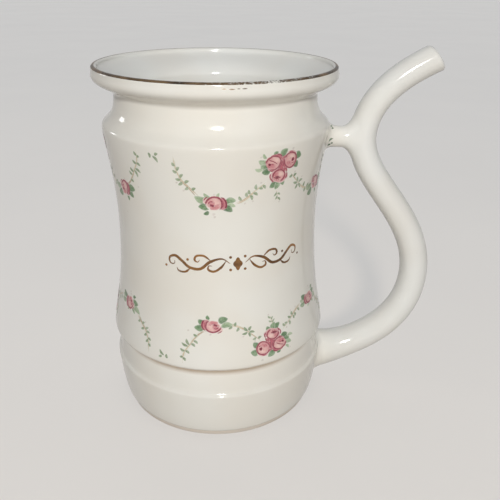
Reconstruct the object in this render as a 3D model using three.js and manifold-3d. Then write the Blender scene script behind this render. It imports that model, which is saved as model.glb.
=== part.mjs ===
// Spa drinking cup: a waisted porcelain cup whose hollow handle is also its drinking tube.
// Millimetres, +Z up. The origin is the centre of the foot, and the handle stands out along +X.
import * as THREE from 'three';
import { mergeVertices } from 'three/addons/utils/BufferGeometryUtils.js';
import Module from 'manifold-3d';

// Cup, from the table up: the radius of the foot band, and how far the rest stands in or out from it
const BAND_RADIUS = 38;
const BAND_HEIGHT = 18.4;
const FOOT_TUCK = 2.5;
const FOOT_PAD_TUCK = 0.5;
const FOOT_PAD_HEIGHT = 2.1;
const FOOT_EDGE_ROUND = 0.5;
const CREASE_DEPTH = 3.6;
const CREASE_HEIGHT = 28.4;
const BULGE_OVERHANG = 0.3;
const BULGE_RISE = 1.2;
const WAIST_DEPTH = 4.3;
const WAIST_HEIGHT = 70.2;

// Cup, from the rim down: the collar stands out over the bulge, and the rest is set in from the collar
const RIM_HEIGHT = 120;
const COLLAR_OVERHANG = 0.6;
const COLLAR_DROP = 2.7;
const LIP_INSET = 1.2;
const LIP_ROUND = 0.9;
const NECK_DEPTH = 6.4;
const NECK_DROP = 8.6;
const SHOULDER_INSET = 2.1;
const SHOULDER_DROP = 18.6;

// Clay thickness of the cup, and of its thinnest place, behind the crease
const WALL = 3.6;
const CREASE_WALL = 3;
const FLOOR = 5;
const FLOOR_FILLET = 5;

// How long each stretch of wall stays upright as it leaves one knot and as it reaches the next
const FOOT_TO_BAND = [0.55, 0.07];
const BAND_TO_CREASE = [0.1, 0.38];
const BULGE_TO_WAIST = [0.07, 0.6];
const WAIST_TO_SHOULDER = [0.44, 0.07];
const SHOULDER_TO_NECK = [0.25, 0.82];
const NECK_TO_COLLAR = [0.46, 0.55];
const COLLAR_TO_LIP = [0.4, 0.4];
const INSIDE_LIP_TO_NECK = [0.2, 0.5];
const INSIDE_NECK_TO_SHOULDER = [0.5, 0.3];
const INSIDE_SHOULDER_TO_WAIST = [0.1, 0.57];
const INSIDE_WAIST_TO_FLOOR = [0.6, 0.3];

// Gold line fired on the lip, swept round the lip's edge between two angles from the outside
const GILDING_THICKNESS = 0.1;
const GILDING_FROM = THREE.MathUtils.degToRad(15);
const GILDING_TO = THREE.MathUtils.degToRad(100);

// Drinking tube: where it leaves the foot band, how far the loop stands out, where it ends
const PORT_HEIGHT = 12.3;
const PORT_TILT = THREE.MathUtils.degToRad(10);
const PORT_SEAT_STANDOFF = 1.3;
const PORT_SEAT_RADIUS = 7.2;
const PORT_SEAT_FLARE = 2.6;
const FINGER_ROOM = 28.9;
const LOOP_HEIGHT = 45;
const MOUTH_REACH = 31.9;
const MOUTH_RISE = 2;
const MOUTH_TILT = THREE.MathUtils.degToRad(25);
const TUBE_FOOT_DIAMETER = 14.3;
const TUBE_FLARE_LENGTH = 16;
const TUBE_ROOT_DIAMETER = 11.7;
const TUBE_LOOP_DIAMETER = 10.1;
const TUBE_ARM_DIAMETER = 9;
const TUBE_MOUTH_DIAMETER = 9.2;
const MOUTH_ROUND = 1.2;
const MOUTH_CUT = THREE.MathUtils.degToRad(11);
const BORE_DIAMETER = 5;

// Fullness of the tube's three bends at their two ends
const LOWER_BEND = [0.5, 0.6];
const MIDDLE_BEND = [0.46, 0.31];
const UPPER_BEND = [0.46, 0.64];

// Bridge that ties the tube to the shoulder
const BRIDGE_DROP = 5.2;
const BRIDGE_LENGTH = 12.1;
const BRIDGE_SEAT_STANDOFF = 0.8;
const BRIDGE_SEAT_FLARE = 1.2;
const BRIDGE_ROOT_RADIUS = 4.5;
const BRIDGE_RADIUS = 3.5;
const BRIDGE_WEB_RADIUS = 8;

// Clay slip that lutes the handle to its two seats
const SLIP_THICKNESS = 0.6;
const SLIP_OVERHANG = 0.3;

// How far through the wall the root of a seat reaches
const SEAT_ROOT_SHARE = 0.7;

// Colours of the glaze, the slip and the gold
const CUP_GLAZE = 0xe6e3d6;
const HANDLE_GLAZE = 0xe8e8e2;
const SLIP_GLAZE = 0xdcd8ca;
const GOLD = 0x7d6130;
const GLAZE_ROUGHNESS = 0.12;
const SLIP_ROUGHNESS = 0.2;
const GOLD_ROUGHNESS = 0.35;

// Facets
const CUP_SIDES = 64;
const TUBE_SIDES = 20;
const BORE_SIDES = 14;
const TUBE_STEP = 3.2;
const LONG_STEPS = 8;
const WALL_STEPS = 6;
const INSIDE_STEPS = 4;
const ROUND_STEPS = 3;
const EDGE_STEPS = 2;
const SAME_POINT = 1e-6;

const wasm = await Module();
wasm.setup();

const at = (radius, height) => new THREE.Vector2(radius, height);

// Points of a smooth stretch that runs straight up at both ends, so that stretches flow into each other
function swell(from, to, [easeFrom, easeTo], count) {
  const span = to.y - from.y;
  const leave = at(from.x, from.y + span * easeFrom);
  const arrive = at(to.x, to.y - span * easeTo);
  return new THREE.CubicBezierCurve(from, leave, arrive, to).getPoints(count);
}

function arc(centre, radius, fromAngle, toAngle, count) {
  const clockwise = toAngle < fromAngle;
  const curve = new THREE.EllipseCurve(centre.x, centre.y, radius, radius, fromAngle, toAngle, clockwise);
  return curve.getPoints(count);
}

// Joins stretches into one outline and drops the point that two neighbours share
function outline(...stretches) {
  const points = stretches.flat();
  return points.filter((point, i) => i === 0 || point.distanceTo(points[i - 1]) > SAME_POINT);
}

// Turned about the cup's upright axis
function turned(points, sides = CUP_SIDES) {
  return new THREE.LatheGeometry(points, sides).rotateX(Math.PI / 2);
}

// Turned about a level line along +X at a height; the points are (radius, distance along X)
function turnedAlongX(points, height, sides = TUBE_SIDES) {
  return new THREE.LatheGeometry(points, sides).rotateZ(-Math.PI / 2).translate(0, 0, height);
}

function toSolid(geometry) {
  const bare = geometry.clone();
  bare.deleteAttribute('normal');
  bare.deleteAttribute('uv');
  const merged = mergeVertices(bare);
  const corners = merged.index.array;
  const kept = [];
  for (let i = 0; i < corners.length; i += 3) {
    const [a, b, c] = [corners[i], corners[i + 1], corners[i + 2]];
    if (a !== b && b !== c && c !== a) {
      kept.push(a, b, c);
    }
  }
  const vertProperties = new Float32Array(merged.attributes.position.array);
  const triVerts = new Uint32Array(kept);
  return new wasm.Manifold(new wasm.Mesh({ numProp: 3, vertProperties, triVerts }));
}

function toGeometry(solid) {
  const mesh = solid.getMesh();
  const geometry = new THREE.BufferGeometry();
  geometry.setAttribute('position', new THREE.BufferAttribute(new Float32Array(mesh.vertProperties), 3));
  geometry.setIndex(new THREE.BufferAttribute(new Uint32Array(mesh.triVerts), 1));
  geometry.computeVertexNormals();
  return geometry;
}

function piece(name, geometry, color, roughness, metalness = 0) {
  const mesh = new THREE.Mesh(geometry, new THREE.MeshStandardMaterial({ color, roughness, metalness }));
  mesh.name = name;
  return mesh;
}

// Radii and knots of the cup's wall
const footRadius = BAND_RADIUS - FOOT_TUCK;
const footPadRadius = footRadius - FOOT_PAD_TUCK;
const creaseRadius = BAND_RADIUS - CREASE_DEPTH;
const bulgeRadius = BAND_RADIUS + BULGE_OVERHANG;
const waistRadius = bulgeRadius - WAIST_DEPTH;
const collarRadius = bulgeRadius + COLLAR_OVERHANG;
const lipRadius = collarRadius - LIP_INSET;
const neckRadius = collarRadius - NECK_DEPTH;
const shoulderRadius = collarRadius - SHOULDER_INSET;
const lipCentre = at(lipRadius, RIM_HEIGHT - LIP_ROUND);
const collarKnot = at(collarRadius, RIM_HEIGHT - COLLAR_DROP);
const neckKnot = at(neckRadius, RIM_HEIGHT - NECK_DROP);
const shoulderKnot = at(shoulderRadius, RIM_HEIGHT - SHOULDER_DROP);
const waistKnot = at(waistRadius, WAIST_HEIGHT);
const bulgeKnot = at(bulgeRadius, CREASE_HEIGHT + BULGE_RISE);
const creaseKnot = at(creaseRadius, CREASE_HEIGHT);
const bandKnot = at(BAND_RADIUS, BAND_HEIGHT);
const innerRadius = creaseRadius - CREASE_WALL;

function cupOutside() {
  const padEdge = at(footPadRadius - FOOT_EDGE_ROUND, FOOT_EDGE_ROUND);
  const foot = at(footRadius, FOOT_PAD_HEIGHT);
  const footSwell = at(footRadius + FOOT_TUCK * FOOT_TO_BAND[0], FOOT_PAD_HEIGHT);
  const bandEase = at(BAND_RADIUS, BAND_HEIGHT - (BAND_HEIGHT - FOOT_PAD_HEIGHT) * FOOT_TO_BAND[1]);
  const bandTop = at(BAND_RADIUS, BAND_HEIGHT + (CREASE_HEIGHT - BAND_HEIGHT) * BAND_TO_CREASE[0]);
  const creaseEase = at(BAND_RADIUS - CREASE_DEPTH * BAND_TO_CREASE[1], CREASE_HEIGHT);
  const bulgeEase = at(bulgeRadius, CREASE_HEIGHT);
  return outline(
    [at(0, 0)],
    arc(padEdge, FOOT_EDGE_ROUND, -Math.PI / 2, 0, EDGE_STEPS),
    [at(footPadRadius, FOOT_PAD_HEIGHT)],
    new THREE.CubicBezierCurve(foot, footSwell, bandEase, bandKnot).getPoints(WALL_STEPS),
    new THREE.CubicBezierCurve(bandKnot, bandTop, creaseEase, creaseKnot).getPoints(WALL_STEPS),
    new THREE.QuadraticBezierCurve(creaseKnot, bulgeEase, bulgeKnot).getPoints(ROUND_STEPS),
    swell(bulgeKnot, waistKnot, BULGE_TO_WAIST, LONG_STEPS),
    swell(waistKnot, shoulderKnot, WAIST_TO_SHOULDER, WALL_STEPS),
    swell(shoulderKnot, neckKnot, SHOULDER_TO_NECK, WALL_STEPS),
    swell(neckKnot, collarKnot, NECK_TO_COLLAR, WALL_STEPS),
    swell(collarKnot, at(lipRadius + LIP_ROUND, lipCentre.y), COLLAR_TO_LIP, EDGE_STEPS),
    arc(lipCentre, LIP_ROUND, 0, GILDING_FROM, EDGE_STEPS),
  );
}

function lipEdge(round) {
  return arc(lipCentre, round, GILDING_FROM, GILDING_TO, ROUND_STEPS);
}

function cupInside() {
  const lipInside = at(lipRadius - LIP_ROUND, lipCentre.y);
  const neckInside = at(neckRadius - WALL, neckKnot.y);
  const shoulderInside = at(shoulderRadius - WALL, shoulderKnot.y - WALL);
  const waistInside = at(waistRadius - WALL, WAIST_HEIGHT);
  const lowInside = at(innerRadius, CREASE_HEIGHT);
  const floorCentre = at(innerRadius - FLOOR_FILLET, FLOOR + FLOOR_FILLET);
  return outline(
    arc(lipCentre, LIP_ROUND, GILDING_TO, Math.PI, EDGE_STEPS),
    swell(lipInside, neckInside, INSIDE_LIP_TO_NECK, INSIDE_STEPS),
    swell(neckInside, shoulderInside, INSIDE_NECK_TO_SHOULDER, INSIDE_STEPS),
    swell(shoulderInside, waistInside, INSIDE_SHOULDER_TO_WAIST, INSIDE_STEPS),
    swell(waistInside, lowInside, INSIDE_WAIST_TO_FLOOR, INSIDE_STEPS),
    arc(floorCentre, FLOOR_FILLET, 0, -Math.PI / 2, ROUND_STEPS),
    [at(0, FLOOR)],
  );
}

// Seats moulded on the cup: a stub from within the wall out to a flat face square to +X
function seat(radius, flare, wallRadius, faceX, height) {
  const startX = wallRadius - WALL * SEAT_ROOT_SHARE;
  const foot = at(radius + flare, startX);
  const fillet = new THREE.QuadraticBezierCurve(foot, at(radius, wallRadius), at(radius, faceX));
  return turnedAlongX(outline([at(0, startX)], fillet.getPoints(WALL_STEPS), [at(0, faceX)]), height);
}

const portSeatX = BAND_RADIUS + PORT_SEAT_STANDOFF;
const bridgeHeight = shoulderKnot.y - BRIDGE_DROP;
const bridgeSeatX = shoulderRadius + BRIDGE_SEAT_STANDOFF;
const bridgeX = shoulderRadius + BRIDGE_LENGTH;

// Centre line of the tube in the plane y = 0: out of the port, round the loop, past the bridge, to the mouth
const upright = new THREE.Vector3(0, 0, 1);
const portPoint = new THREE.Vector3(portSeatX, 0, PORT_HEIGHT);
const loopPoint = new THREE.Vector3(bulgeRadius + FINGER_ROOM + TUBE_LOOP_DIAMETER / 2, 0, LOOP_HEIGHT);
const bridgePoint = new THREE.Vector3(bridgeX, 0, bridgeHeight);
const mouthPoint = new THREE.Vector3(collarRadius + MOUTH_REACH, 0, RIM_HEIGHT + MOUTH_RISE);
const portWay = new THREE.Vector3(Math.cos(PORT_TILT), 0, Math.sin(PORT_TILT));
const mouthWay = new THREE.Vector3(Math.cos(MOUTH_TILT), 0, Math.sin(MOUTH_TILT));

// A bend that leaves one point along a direction and reaches the next along another
function bend(from, leaving, leaveLength, to, arriving, arriveLength) {
  const leave = from.clone().addScaledVector(leaving, leaveLength);
  const arrive = to.clone().addScaledVector(arriving, -arriveLength);
  return new THREE.CubicBezierCurve3(from, leave, arrive, to);
}

const loopReach = loopPoint.x - portPoint.x;
const loopRise = loopPoint.z - portPoint.z;
const middleRise = bridgePoint.z - loopPoint.z;
const armRise = mouthPoint.z - bridgePoint.z;
const armReach = mouthPoint.x - bridgePoint.x;
const lowerBend = bend(
  portPoint, portWay, loopReach * LOWER_BEND[0], loopPoint, upright, loopRise * LOWER_BEND[1]);
const middleBend = bend(
  loopPoint, upright, middleRise * MIDDLE_BEND[0], bridgePoint, upright, middleRise * MIDDLE_BEND[1]);
const upperBend = bend(
  bridgePoint, upright, armRise * UPPER_BEND[0], mouthPoint, mouthWay, armReach * UPPER_BEND[1]);
const route = new THREE.CurvePath();
route.add(lowerBend);
route.add(middleBend);
route.add(upperBend);
const routeLength = route.getLength();
const loopAt = lowerBend.getLength();
const bridgeAt = loopAt + middleBend.getLength();

// Radius of the tube at a distance along its centre line: a flare at the foot, then a slow taper
function tubeRadius(along) {
  const ends = [0, loopAt, bridgeAt, routeLength];
  const diameters = [TUBE_ROOT_DIAMETER, TUBE_LOOP_DIAMETER, TUBE_ARM_DIAMETER, TUBE_MOUTH_DIAMETER];
  const place = THREE.MathUtils.clamp(along, 0, routeLength);
  const stretch = place < loopAt ? 0 : place < bridgeAt ? 1 : 2;
  const [from, to] = [ends[stretch], ends[stretch + 1]];
  const plain = THREE.MathUtils.mapLinear(place, from, to, diameters[stretch], diameters[stretch + 1]);
  const flare = Math.max(0, 1 - place / TUBE_FLARE_LENGTH) ** 2;
  return (plain + flare * (TUBE_FOOT_DIAMETER - TUBE_ROOT_DIAMETER)) / 2;
}

// How far the mouth, cut aslant, is set back for each millimetre above the centre line
function mouthSlant(along) {
  const nearMouth = THREE.MathUtils.smoothstep(along, routeLength - TUBE_MOUTH_DIAMETER, routeLength);
  return nearMouth * Math.tan(MOUTH_CUT);
}

// Bends a straight turned piece, whose Y is the distance along the tube, onto the tube's centre line
function alongTube(points, sides) {
  const geometry = new THREE.LatheGeometry(points, sides);
  const position = geometry.attributes.position;
  for (let i = 0; i < position.count; i += 1) {
    const square = position.getY(i);
    const along = square - mouthSlant(square) * position.getX(i);
    const place = THREE.MathUtils.clamp(along, 0, routeLength);
    const way = route.getTangent(place / routeLength);
    const centre = route.getPoint(place / routeLength).addScaledVector(way, along - place);
    const across = new THREE.Vector3(-way.z, 0, way.x);
    const spot = centre.addScaledVector(across, position.getX(i));
    position.setXYZ(i, spot.x, position.getZ(i), spot.z);
  }
  return geometry;
}

function tubeOutside() {
  const start = -TUBE_FOOT_DIAMETER / 2;
  const end = routeLength - MOUTH_ROUND;
  const count = Math.ceil((end - start) / TUBE_STEP);
  const side = [];
  for (let i = 0; i <= count; i += 1) {
    const along = THREE.MathUtils.lerp(start, end, i / count);
    side.push(at(tubeRadius(along), along));
  }
  const mouthEdge = arc(at(tubeRadius(end) - MOUTH_ROUND, end), MOUTH_ROUND, 0, Math.PI / 2, ROUND_STEPS);
  return alongTube(outline([at(0, start)], side, mouthEdge, [at(0, routeLength)]), TUBE_SIDES);
}

// The bore runs from inside the cup, through the wall, to past the mouth
function tubeBore() {
  const radius = BORE_DIAMETER / 2;
  const start = -(portSeatX - innerRadius) / Math.cos(PORT_TILT) - WALL;
  const end = routeLength + BORE_DIAMETER;
  const count = Math.ceil((end - start) / TUBE_STEP);
  const side = [];
  for (let i = 0; i <= count; i += 1) {
    side.push(at(radius, THREE.MathUtils.lerp(start, end, i / count)));
  }
  return alongTube(outline([at(0, start)], side, [at(0, end)]), BORE_SIDES);
}

// Bridge: a waisted stub that spreads up and down into the tube, no wider than the tube is
function bridgeStub() {
  const startX = bridgeSeatX;
  const waistX = (bridgeSeatX + bridgeX - TUBE_ARM_DIAMETER / 2) / 2;
  const rootFillet = new THREE.QuadraticBezierCurve(
    at(BRIDGE_ROOT_RADIUS, startX), at(BRIDGE_RADIUS, startX), at(BRIDGE_RADIUS, waistX));
  const webFillet = new THREE.QuadraticBezierCurve(
    at(BRIDGE_RADIUS, waistX), at(BRIDGE_RADIUS, bridgeX - BRIDGE_RADIUS), at(BRIDGE_WEB_RADIUS, bridgeX));
  const side = outline(rootFillet.getPoints(INSIDE_STEPS), webFillet.getPoints(LONG_STEPS));
  const points = outline([at(0, startX)], side, [at(0, bridgeX)]);
  const geometry = turnedAlongX(points, 0);
  const position = geometry.attributes.position;
  for (let i = 0; i < position.count; i += 1) {
    const spread = Math.hypot(position.getY(i), position.getZ(i));
    const beyondRoot = position.getX(i) > waistX && spread > BRIDGE_RADIUS;
    if (beyondRoot) {
      position.setY(i, position.getY(i) * BRIDGE_RADIUS / spread);
    }
  }
  return geometry.translate(0, 0, bridgeHeight);
}

// Everything nearer the axis than a flat face square to +X
function block(faceX) {
  const size = 2 * RIM_HEIGHT + 2 * collarRadius;
  return new THREE.BoxGeometry(size, size, size).translate(faceX - size / 2, 0, 0);
}

const bore = toSolid(tubeBore());

function cupBody() {
  const wall = toSolid(turned(outline(cupOutside(), lipEdge(LIP_ROUND), cupInside())));
  const portSeat = seat(PORT_SEAT_RADIUS, PORT_SEAT_FLARE, BAND_RADIUS, portSeatX, PORT_HEIGHT);
  const bridgeSeat = seat(
    BRIDGE_ROOT_RADIUS, BRIDGE_SEAT_FLARE, shoulderRadius, bridgeSeatX, bridgeHeight);
  const shape = wall.add(toSolid(portSeat)).add(toSolid(bridgeSeat)).subtract(bore);
  return piece('cup_body', toGeometry(shape), CUP_GLAZE, GLAZE_ROUGHNESS);
}

function sippingHandle() {
  const portCut = toSolid(block(portSeatX + SLIP_THICKNESS));
  const bridgeCut = toSolid(block(bridgeSeatX + SLIP_THICKNESS));
  const tube = toSolid(tubeOutside()).subtract(portCut);
  const bridge = toSolid(bridgeStub()).subtract(bridgeCut);
  const shape = tube.add(bridge).subtract(bore);
  return piece('sipping_handle', toGeometry(shape), HANDLE_GLAZE, GLAZE_ROUGHNESS);
}

// A flat pad of slip between a seat and the handle, squeezed out a little past the joint
function slipPad(name, radius, faceX, height) {
  const half = SLIP_THICKNESS / 2;
  const bead = new THREE.EllipseCurve(radius, faceX + half, SLIP_OVERHANG, half, -Math.PI / 2, Math.PI / 2);
  const farX = faceX + SLIP_THICKNESS;
  const points = outline([at(0, faceX)], bead.getPoints(INSIDE_STEPS), [at(0, farX)]);
  const shape = toSolid(turnedAlongX(points, height)).subtract(bore);
  return piece(name, toGeometry(shape), SLIP_GLAZE, SLIP_ROUGHNESS);
}

// The lip's edge and the film share the same facets
function rimGilding() {
  const under = lipEdge(LIP_ROUND).reverse();
  const over = lipEdge(LIP_ROUND + GILDING_THICKNESS);
  return piece('rim_gilding', turned([...over, ...under, over[0]]), GOLD, GOLD_ROUGHNESS, 1);
}

const cup = new THREE.Group();
cup.add(cupBody());
cup.add(sippingHandle());
cup.add(slipPad('port_slip_joint', PORT_SEAT_RADIUS, portSeatX, PORT_HEIGHT));
cup.add(slipPad('bridge_slip_joint', BRIDGE_ROOT_RADIUS, bridgeSeatX, bridgeHeight));
cup.add(rimGilding());

export default cup;
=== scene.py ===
"""Spa drinking cup: glazed porcelain cup with a drinking tube for a handle, rose garlands and a gold rim."""

import math

import bpy
import numpy as np
from mathutils import Matrix, Vector


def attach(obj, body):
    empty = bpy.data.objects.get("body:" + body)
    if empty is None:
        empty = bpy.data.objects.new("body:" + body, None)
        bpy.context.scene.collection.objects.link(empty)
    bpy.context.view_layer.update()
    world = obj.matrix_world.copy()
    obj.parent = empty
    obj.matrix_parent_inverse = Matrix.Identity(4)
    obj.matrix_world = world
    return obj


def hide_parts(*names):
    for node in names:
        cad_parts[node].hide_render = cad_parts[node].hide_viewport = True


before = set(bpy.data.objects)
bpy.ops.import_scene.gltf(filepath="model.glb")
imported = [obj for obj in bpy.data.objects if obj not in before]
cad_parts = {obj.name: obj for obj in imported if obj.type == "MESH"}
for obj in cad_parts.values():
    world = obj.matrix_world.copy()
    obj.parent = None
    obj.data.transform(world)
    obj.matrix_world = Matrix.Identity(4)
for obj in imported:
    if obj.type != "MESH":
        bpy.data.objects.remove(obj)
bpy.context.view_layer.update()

MM = 0.001
OUTWARD = np.array([1.0, 0.0, 0.0])
SIDEWAYS = np.array([0.0, 1.0, 0.0])

# Cup, from the table up, in millimetres
FOOT_PAD_RADIUS = 35.0
FOOT_PAD_HEIGHT = 2.1
FOOT_EDGE_ROUND = 0.5
FOOT_RADIUS = 35.5
BAND_RADIUS = 38.0
BAND_HEIGHT = 18.4
BAND_LEDGE = 0.85
BAND_LEDGE_RISE = 0.78
BAND_SLOPE = 0.3
CREASE_RADIUS = 34.4
CREASE_HEIGHT = 28.3
BULGE_RADIUS = 38.3
BULGE_RISE = 1.7
WAIST_RADIUS = 34.0
WAIST_HEIGHT = 70.2

# Cup, from the rim down
RIM_HEIGHT = 120.0
LIP_RADIUS = 37.7
LIP_ROUND = 0.9
COLLAR_RADIUS = 38.9
COLLAR_DROP = 2.7
NECK_RADIUS = 32.5
NECK_DROP = 8.6
SHOULDER_RADIUS = 36.8
SHOULDER_DROP = 18.6
WALL = 3.6
CREASE_WALL = 3.0
FLOOR = 5.0
FLOOR_FILLET = 5.0

# Drinking tube and bridge; places along the tube count from its seat on the band, below nought in the wall
PORT_HEIGHT = 12.3
PORT_TILT = math.radians(10)
PORT_SEAT_STANDOFF = 1.3
FINGER_ROOM = 28.9
LOOP_HEIGHT = 45.0
MOUTH_REACH = 31.9
MOUTH_RISE = 2.0
MOUTH_TILT = math.radians(25)
TUBE_FOOT_DIAMETER = 14.3
TUBE_FLARE_LENGTH = 16.0
TUBE_ROOT_DIAMETER = 11.7
TUBE_LOOP_DIAMETER = 10.1
TUBE_ARM_DIAMETER = 9.0
TUBE_MOUTH_DIAMETER = 9.2
MOUTH_ROUND = 1.2
MOUTH_CUT = math.radians(11)
BORE_DIAMETER = 5.0
BORE_LIP = 0.6
TUBE_START = -6.0
PORT_CUT_END = -3.8
BRIDGE_DROP = 5.2
BRIDGE_LENGTH = 12.1
BRIDGE_RADIUS = 3.5
BRIDGE_WAIST_X = 41.5

# Slip smoothed over the joints: how far it spreads on the wall and runs along the tube
SLIP_SUNK = 0.02
BRIDGE_ROOT_SUNK = 1.2
BRIDGE_SPREAD_UP, BRIDGE_SPREAD_DOWN, BRIDGE_SPREAD_SIDE = 6.2, 5.4, 8.4
BRIDGE_RUN_UP, BRIDGE_RUN_DOWN = 6.8, 7.0
BRIDGE_WRAP = math.radians(78)
PORT_SLIP_ROOT = -2.0
PORT_SLIP_RUN = 2.6
PORT_SLIP_SPREAD = 2.0
PORT_SLIP_INNER_RADIUS = 5.0
PORT_SLIP_START = -4.5

# Gold on the lip, between two angles from the outside of the lip's round edge
GILDING_FROM = math.radians(24)
GILDING_TO = math.radians(98)
GILDING_FILM = 0.03

# How fine the surfaces are, and how far the melting glaze softens their corners
CUP_SIDES = 200
TUBE_SIDES = 56
BORE_SIDES = 32
CUP_SHARP = math.radians(50)
TUBE_SHARP = math.radians(60)
FILM_SHARP = math.radians(40)
BEND_STEPS = 400
OUTLINE_STEP = 0.1
MOST_STEP = 2.4
MOST_TURN = math.radians(5)
PROBE = 0.2
TUBE_PROBE = 0.3
GLAZE_FLOW = 0.2
CREASE_FLOW = 0.3
LEDGE_FLOW = 0.32
FLOW_FADE = 2.0
FLOW_REACH = 2.2


# Outlines

def bezier(*knots, count=60):
    t = np.linspace(0, 1, count)[:, None]
    n = len(knots) - 1
    return sum(
        math.comb(n, i) * (1 - t) ** (n - i) * t**i * np.array(knot, float)
        for i, knot in enumerate(knots)
    )


def swell(start, end, leave, arrive):
    """A stretch of wall that is upright at both ends."""
    rise = end[1] - start[1]
    return bezier(start, (start[0], start[1] + rise * leave), (end[0], end[1] - rise * arrive), end)


def arc(centre, radius, start, end, count=24):
    a = np.linspace(start, end, count)
    return np.c_[centre[0] + radius * np.cos(a), centre[1] + radius * np.sin(a)]


def once_round(count):
    """The angles of so many sides, once round."""
    return np.arange(count) * 2 * math.pi / count


def lengths(points):
    """How far along a line each of its points lies."""
    steps = np.linalg.norm(np.diff(points, axis=0), axis=1)
    return np.r_[0, np.cumsum(steps)]


def even(points, step):
    """The same line with its points evenly spaced."""
    along = lengths(points)
    keep = np.r_[True, np.diff(along) > 1e-9]
    along, points = along[keep], points[keep]
    marks = np.linspace(0, along[-1], max(2, int(round(along[-1] / step)) + 1))
    return np.stack([np.interp(marks, along, points[:, k]) for k in range(points.shape[1])], axis=1)


def flowed(points, spread):
    """Corners softened as glaze softens them when it melts."""
    fine = even(points, OUTLINE_STEP)
    reach = int(math.ceil(3 * spread / OUTLINE_STEP))
    weights = np.exp(-0.5 * (np.arange(-reach, reach + 1) * OUTLINE_STEP / spread) ** 2)
    weights /= weights.sum()
    ends = np.r_[2 * fine[:1] - fine[reach:0:-1], fine, 2 * fine[-1:] - fine[-2:-reach - 2:-1]]
    return np.stack([np.convolve(ends[:, k], weights, "valid") for k in range(2)], axis=1)


def thinned(points):
    """Fewer points where an outline runs straight."""
    kept = [0]
    turned_by = 0.0
    ways = np.diff(points, axis=0)
    angles = np.arctan2(ways[:, 1], ways[:, 0])
    along = lengths(points)
    for i in range(1, len(points) - 1):
        turned_by += abs((angles[i] - angles[i - 1] + math.pi) % (2 * math.pi) - math.pi)
        if turned_by > MOST_TURN or along[i] - along[kept[-1]] > MOST_STEP:
            kept.append(i)
            turned_by = 0.0
    kept.append(len(points) - 1)
    return points[kept]


lip_centre = (LIP_RADIUS, RIM_HEIGHT - LIP_ROUND)
collar = (COLLAR_RADIUS, RIM_HEIGHT - COLLAR_DROP)
neck = (NECK_RADIUS, RIM_HEIGHT - NECK_DROP)
shoulder = (SHOULDER_RADIUS, RIM_HEIGHT - SHOULDER_DROP)
waist = (WAIST_RADIUS, WAIST_HEIGHT)
bulge = (BULGE_RADIUS, CREASE_HEIGHT + BULGE_RISE)
crease = (CREASE_RADIUS, CREASE_HEIGHT)
band = (BAND_RADIUS, BAND_HEIGHT)
ledge = (BAND_RADIUS - BAND_LEDGE, BAND_HEIGHT + BAND_LEDGE_RISE)
foot = (FOOT_RADIUS, FOOT_PAD_HEIGHT)
inner_radius = CREASE_RADIUS - CREASE_WALL

foot_outline = np.concatenate([
    arc((FOOT_PAD_RADIUS - FOOT_EDGE_ROUND, FOOT_EDGE_ROUND), FOOT_EDGE_ROUND, -math.pi / 2, 0),
    [(FOOT_PAD_RADIUS, FOOT_PAD_HEIGHT)],
])
wall_outline = np.concatenate([
    bezier(foot, (FOOT_RADIUS + (BAND_RADIUS - FOOT_RADIUS) * 0.55, FOOT_PAD_HEIGHT),
           (BAND_RADIUS, BAND_HEIGHT - (BAND_HEIGHT - FOOT_PAD_HEIGHT) * 0.07), band),
    bezier(ledge, (ledge[0] - BAND_SLOPE, ledge[1] + (CREASE_HEIGHT - BAND_HEIGHT) * 0.26),
           (BAND_RADIUS - (BAND_RADIUS - CREASE_RADIUS) * 0.44, CREASE_HEIGHT - BAND_SLOPE), crease),
    bezier(crease, (BULGE_RADIUS, CREASE_HEIGHT), bulge),
    swell(bulge, waist, 0.07, 0.6),
    swell(waist, shoulder, 0.44, 0.07),
    swell(shoulder, neck, 0.25, 0.82),
    swell(neck, collar, 0.46, 0.55),
    swell(collar, (LIP_RADIUS + LIP_ROUND, lip_centre[1]), 0.4, 0.4),
])
crisp = flowed(wall_outline, GLAZE_FLOW)
softer = np.zeros_like(crisp)
for height, flow in ((CREASE_HEIGHT, CREASE_FLOW), (BAND_HEIGHT, LEDGE_FLOW)):
    near = np.clip(FLOW_REACH - np.abs(crisp[:, 1:] - height) / FLOW_FADE, 0, 1)
    softer += (flowed(wall_outline, flow) - crisp) * near
wall_outline = crisp + softer
inside_outline = np.concatenate([
    arc(lip_centre, LIP_ROUND, 0, math.pi),
    swell((LIP_RADIUS - LIP_ROUND, lip_centre[1]), (NECK_RADIUS - WALL, neck[1]), 0.2, 0.5),
    swell((NECK_RADIUS - WALL, neck[1]), (SHOULDER_RADIUS - WALL, shoulder[1] - WALL), 0.5, 0.3),
    swell((SHOULDER_RADIUS - WALL, shoulder[1] - WALL), (WAIST_RADIUS - WALL, WAIST_HEIGHT), 0.1, 0.57),
    swell((WAIST_RADIUS - WALL, WAIST_HEIGHT), (inner_radius, CREASE_HEIGHT), 0.6, 0.3),
    arc((inner_radius - FLOOR_FILLET, FLOOR + FLOOR_FILLET), FLOOR_FILLET, 0, -math.pi / 2),
    [(0.0, FLOOR)],
])

rising = wall_outline[np.r_[True, np.diff(np.maximum.accumulate(wall_outline[:, 1])) > 1e-6]]


def wall_radius(height):
    return np.interp(height, rising[:, 1], rising[:, 0])


def on_wall(azimuth, height, lift=0.0):
    """Points on the outside of the wall, lifted square off it; angles in radians, sizes in millimetres."""
    azimuth, height = np.asarray(azimuth, float), np.asarray(height, float)
    slope = (wall_radius(height + PROBE) - wall_radius(height - PROBE)) / (2 * PROBE)
    stretch = np.sqrt(1 + slope**2)
    radius = wall_radius(height) + lift / stretch
    return np.stack(
        [radius * np.cos(azimuth), radius * np.sin(azimuth), height - lift * slope / stretch], axis=-1)


# Meshes

def put(name, data):
    """A mesh, lamp or camera set down in the scene."""
    holder = bpy.data.objects.new(name, data)
    bpy.context.scene.collection.objects.link(holder)
    return holder


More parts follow.
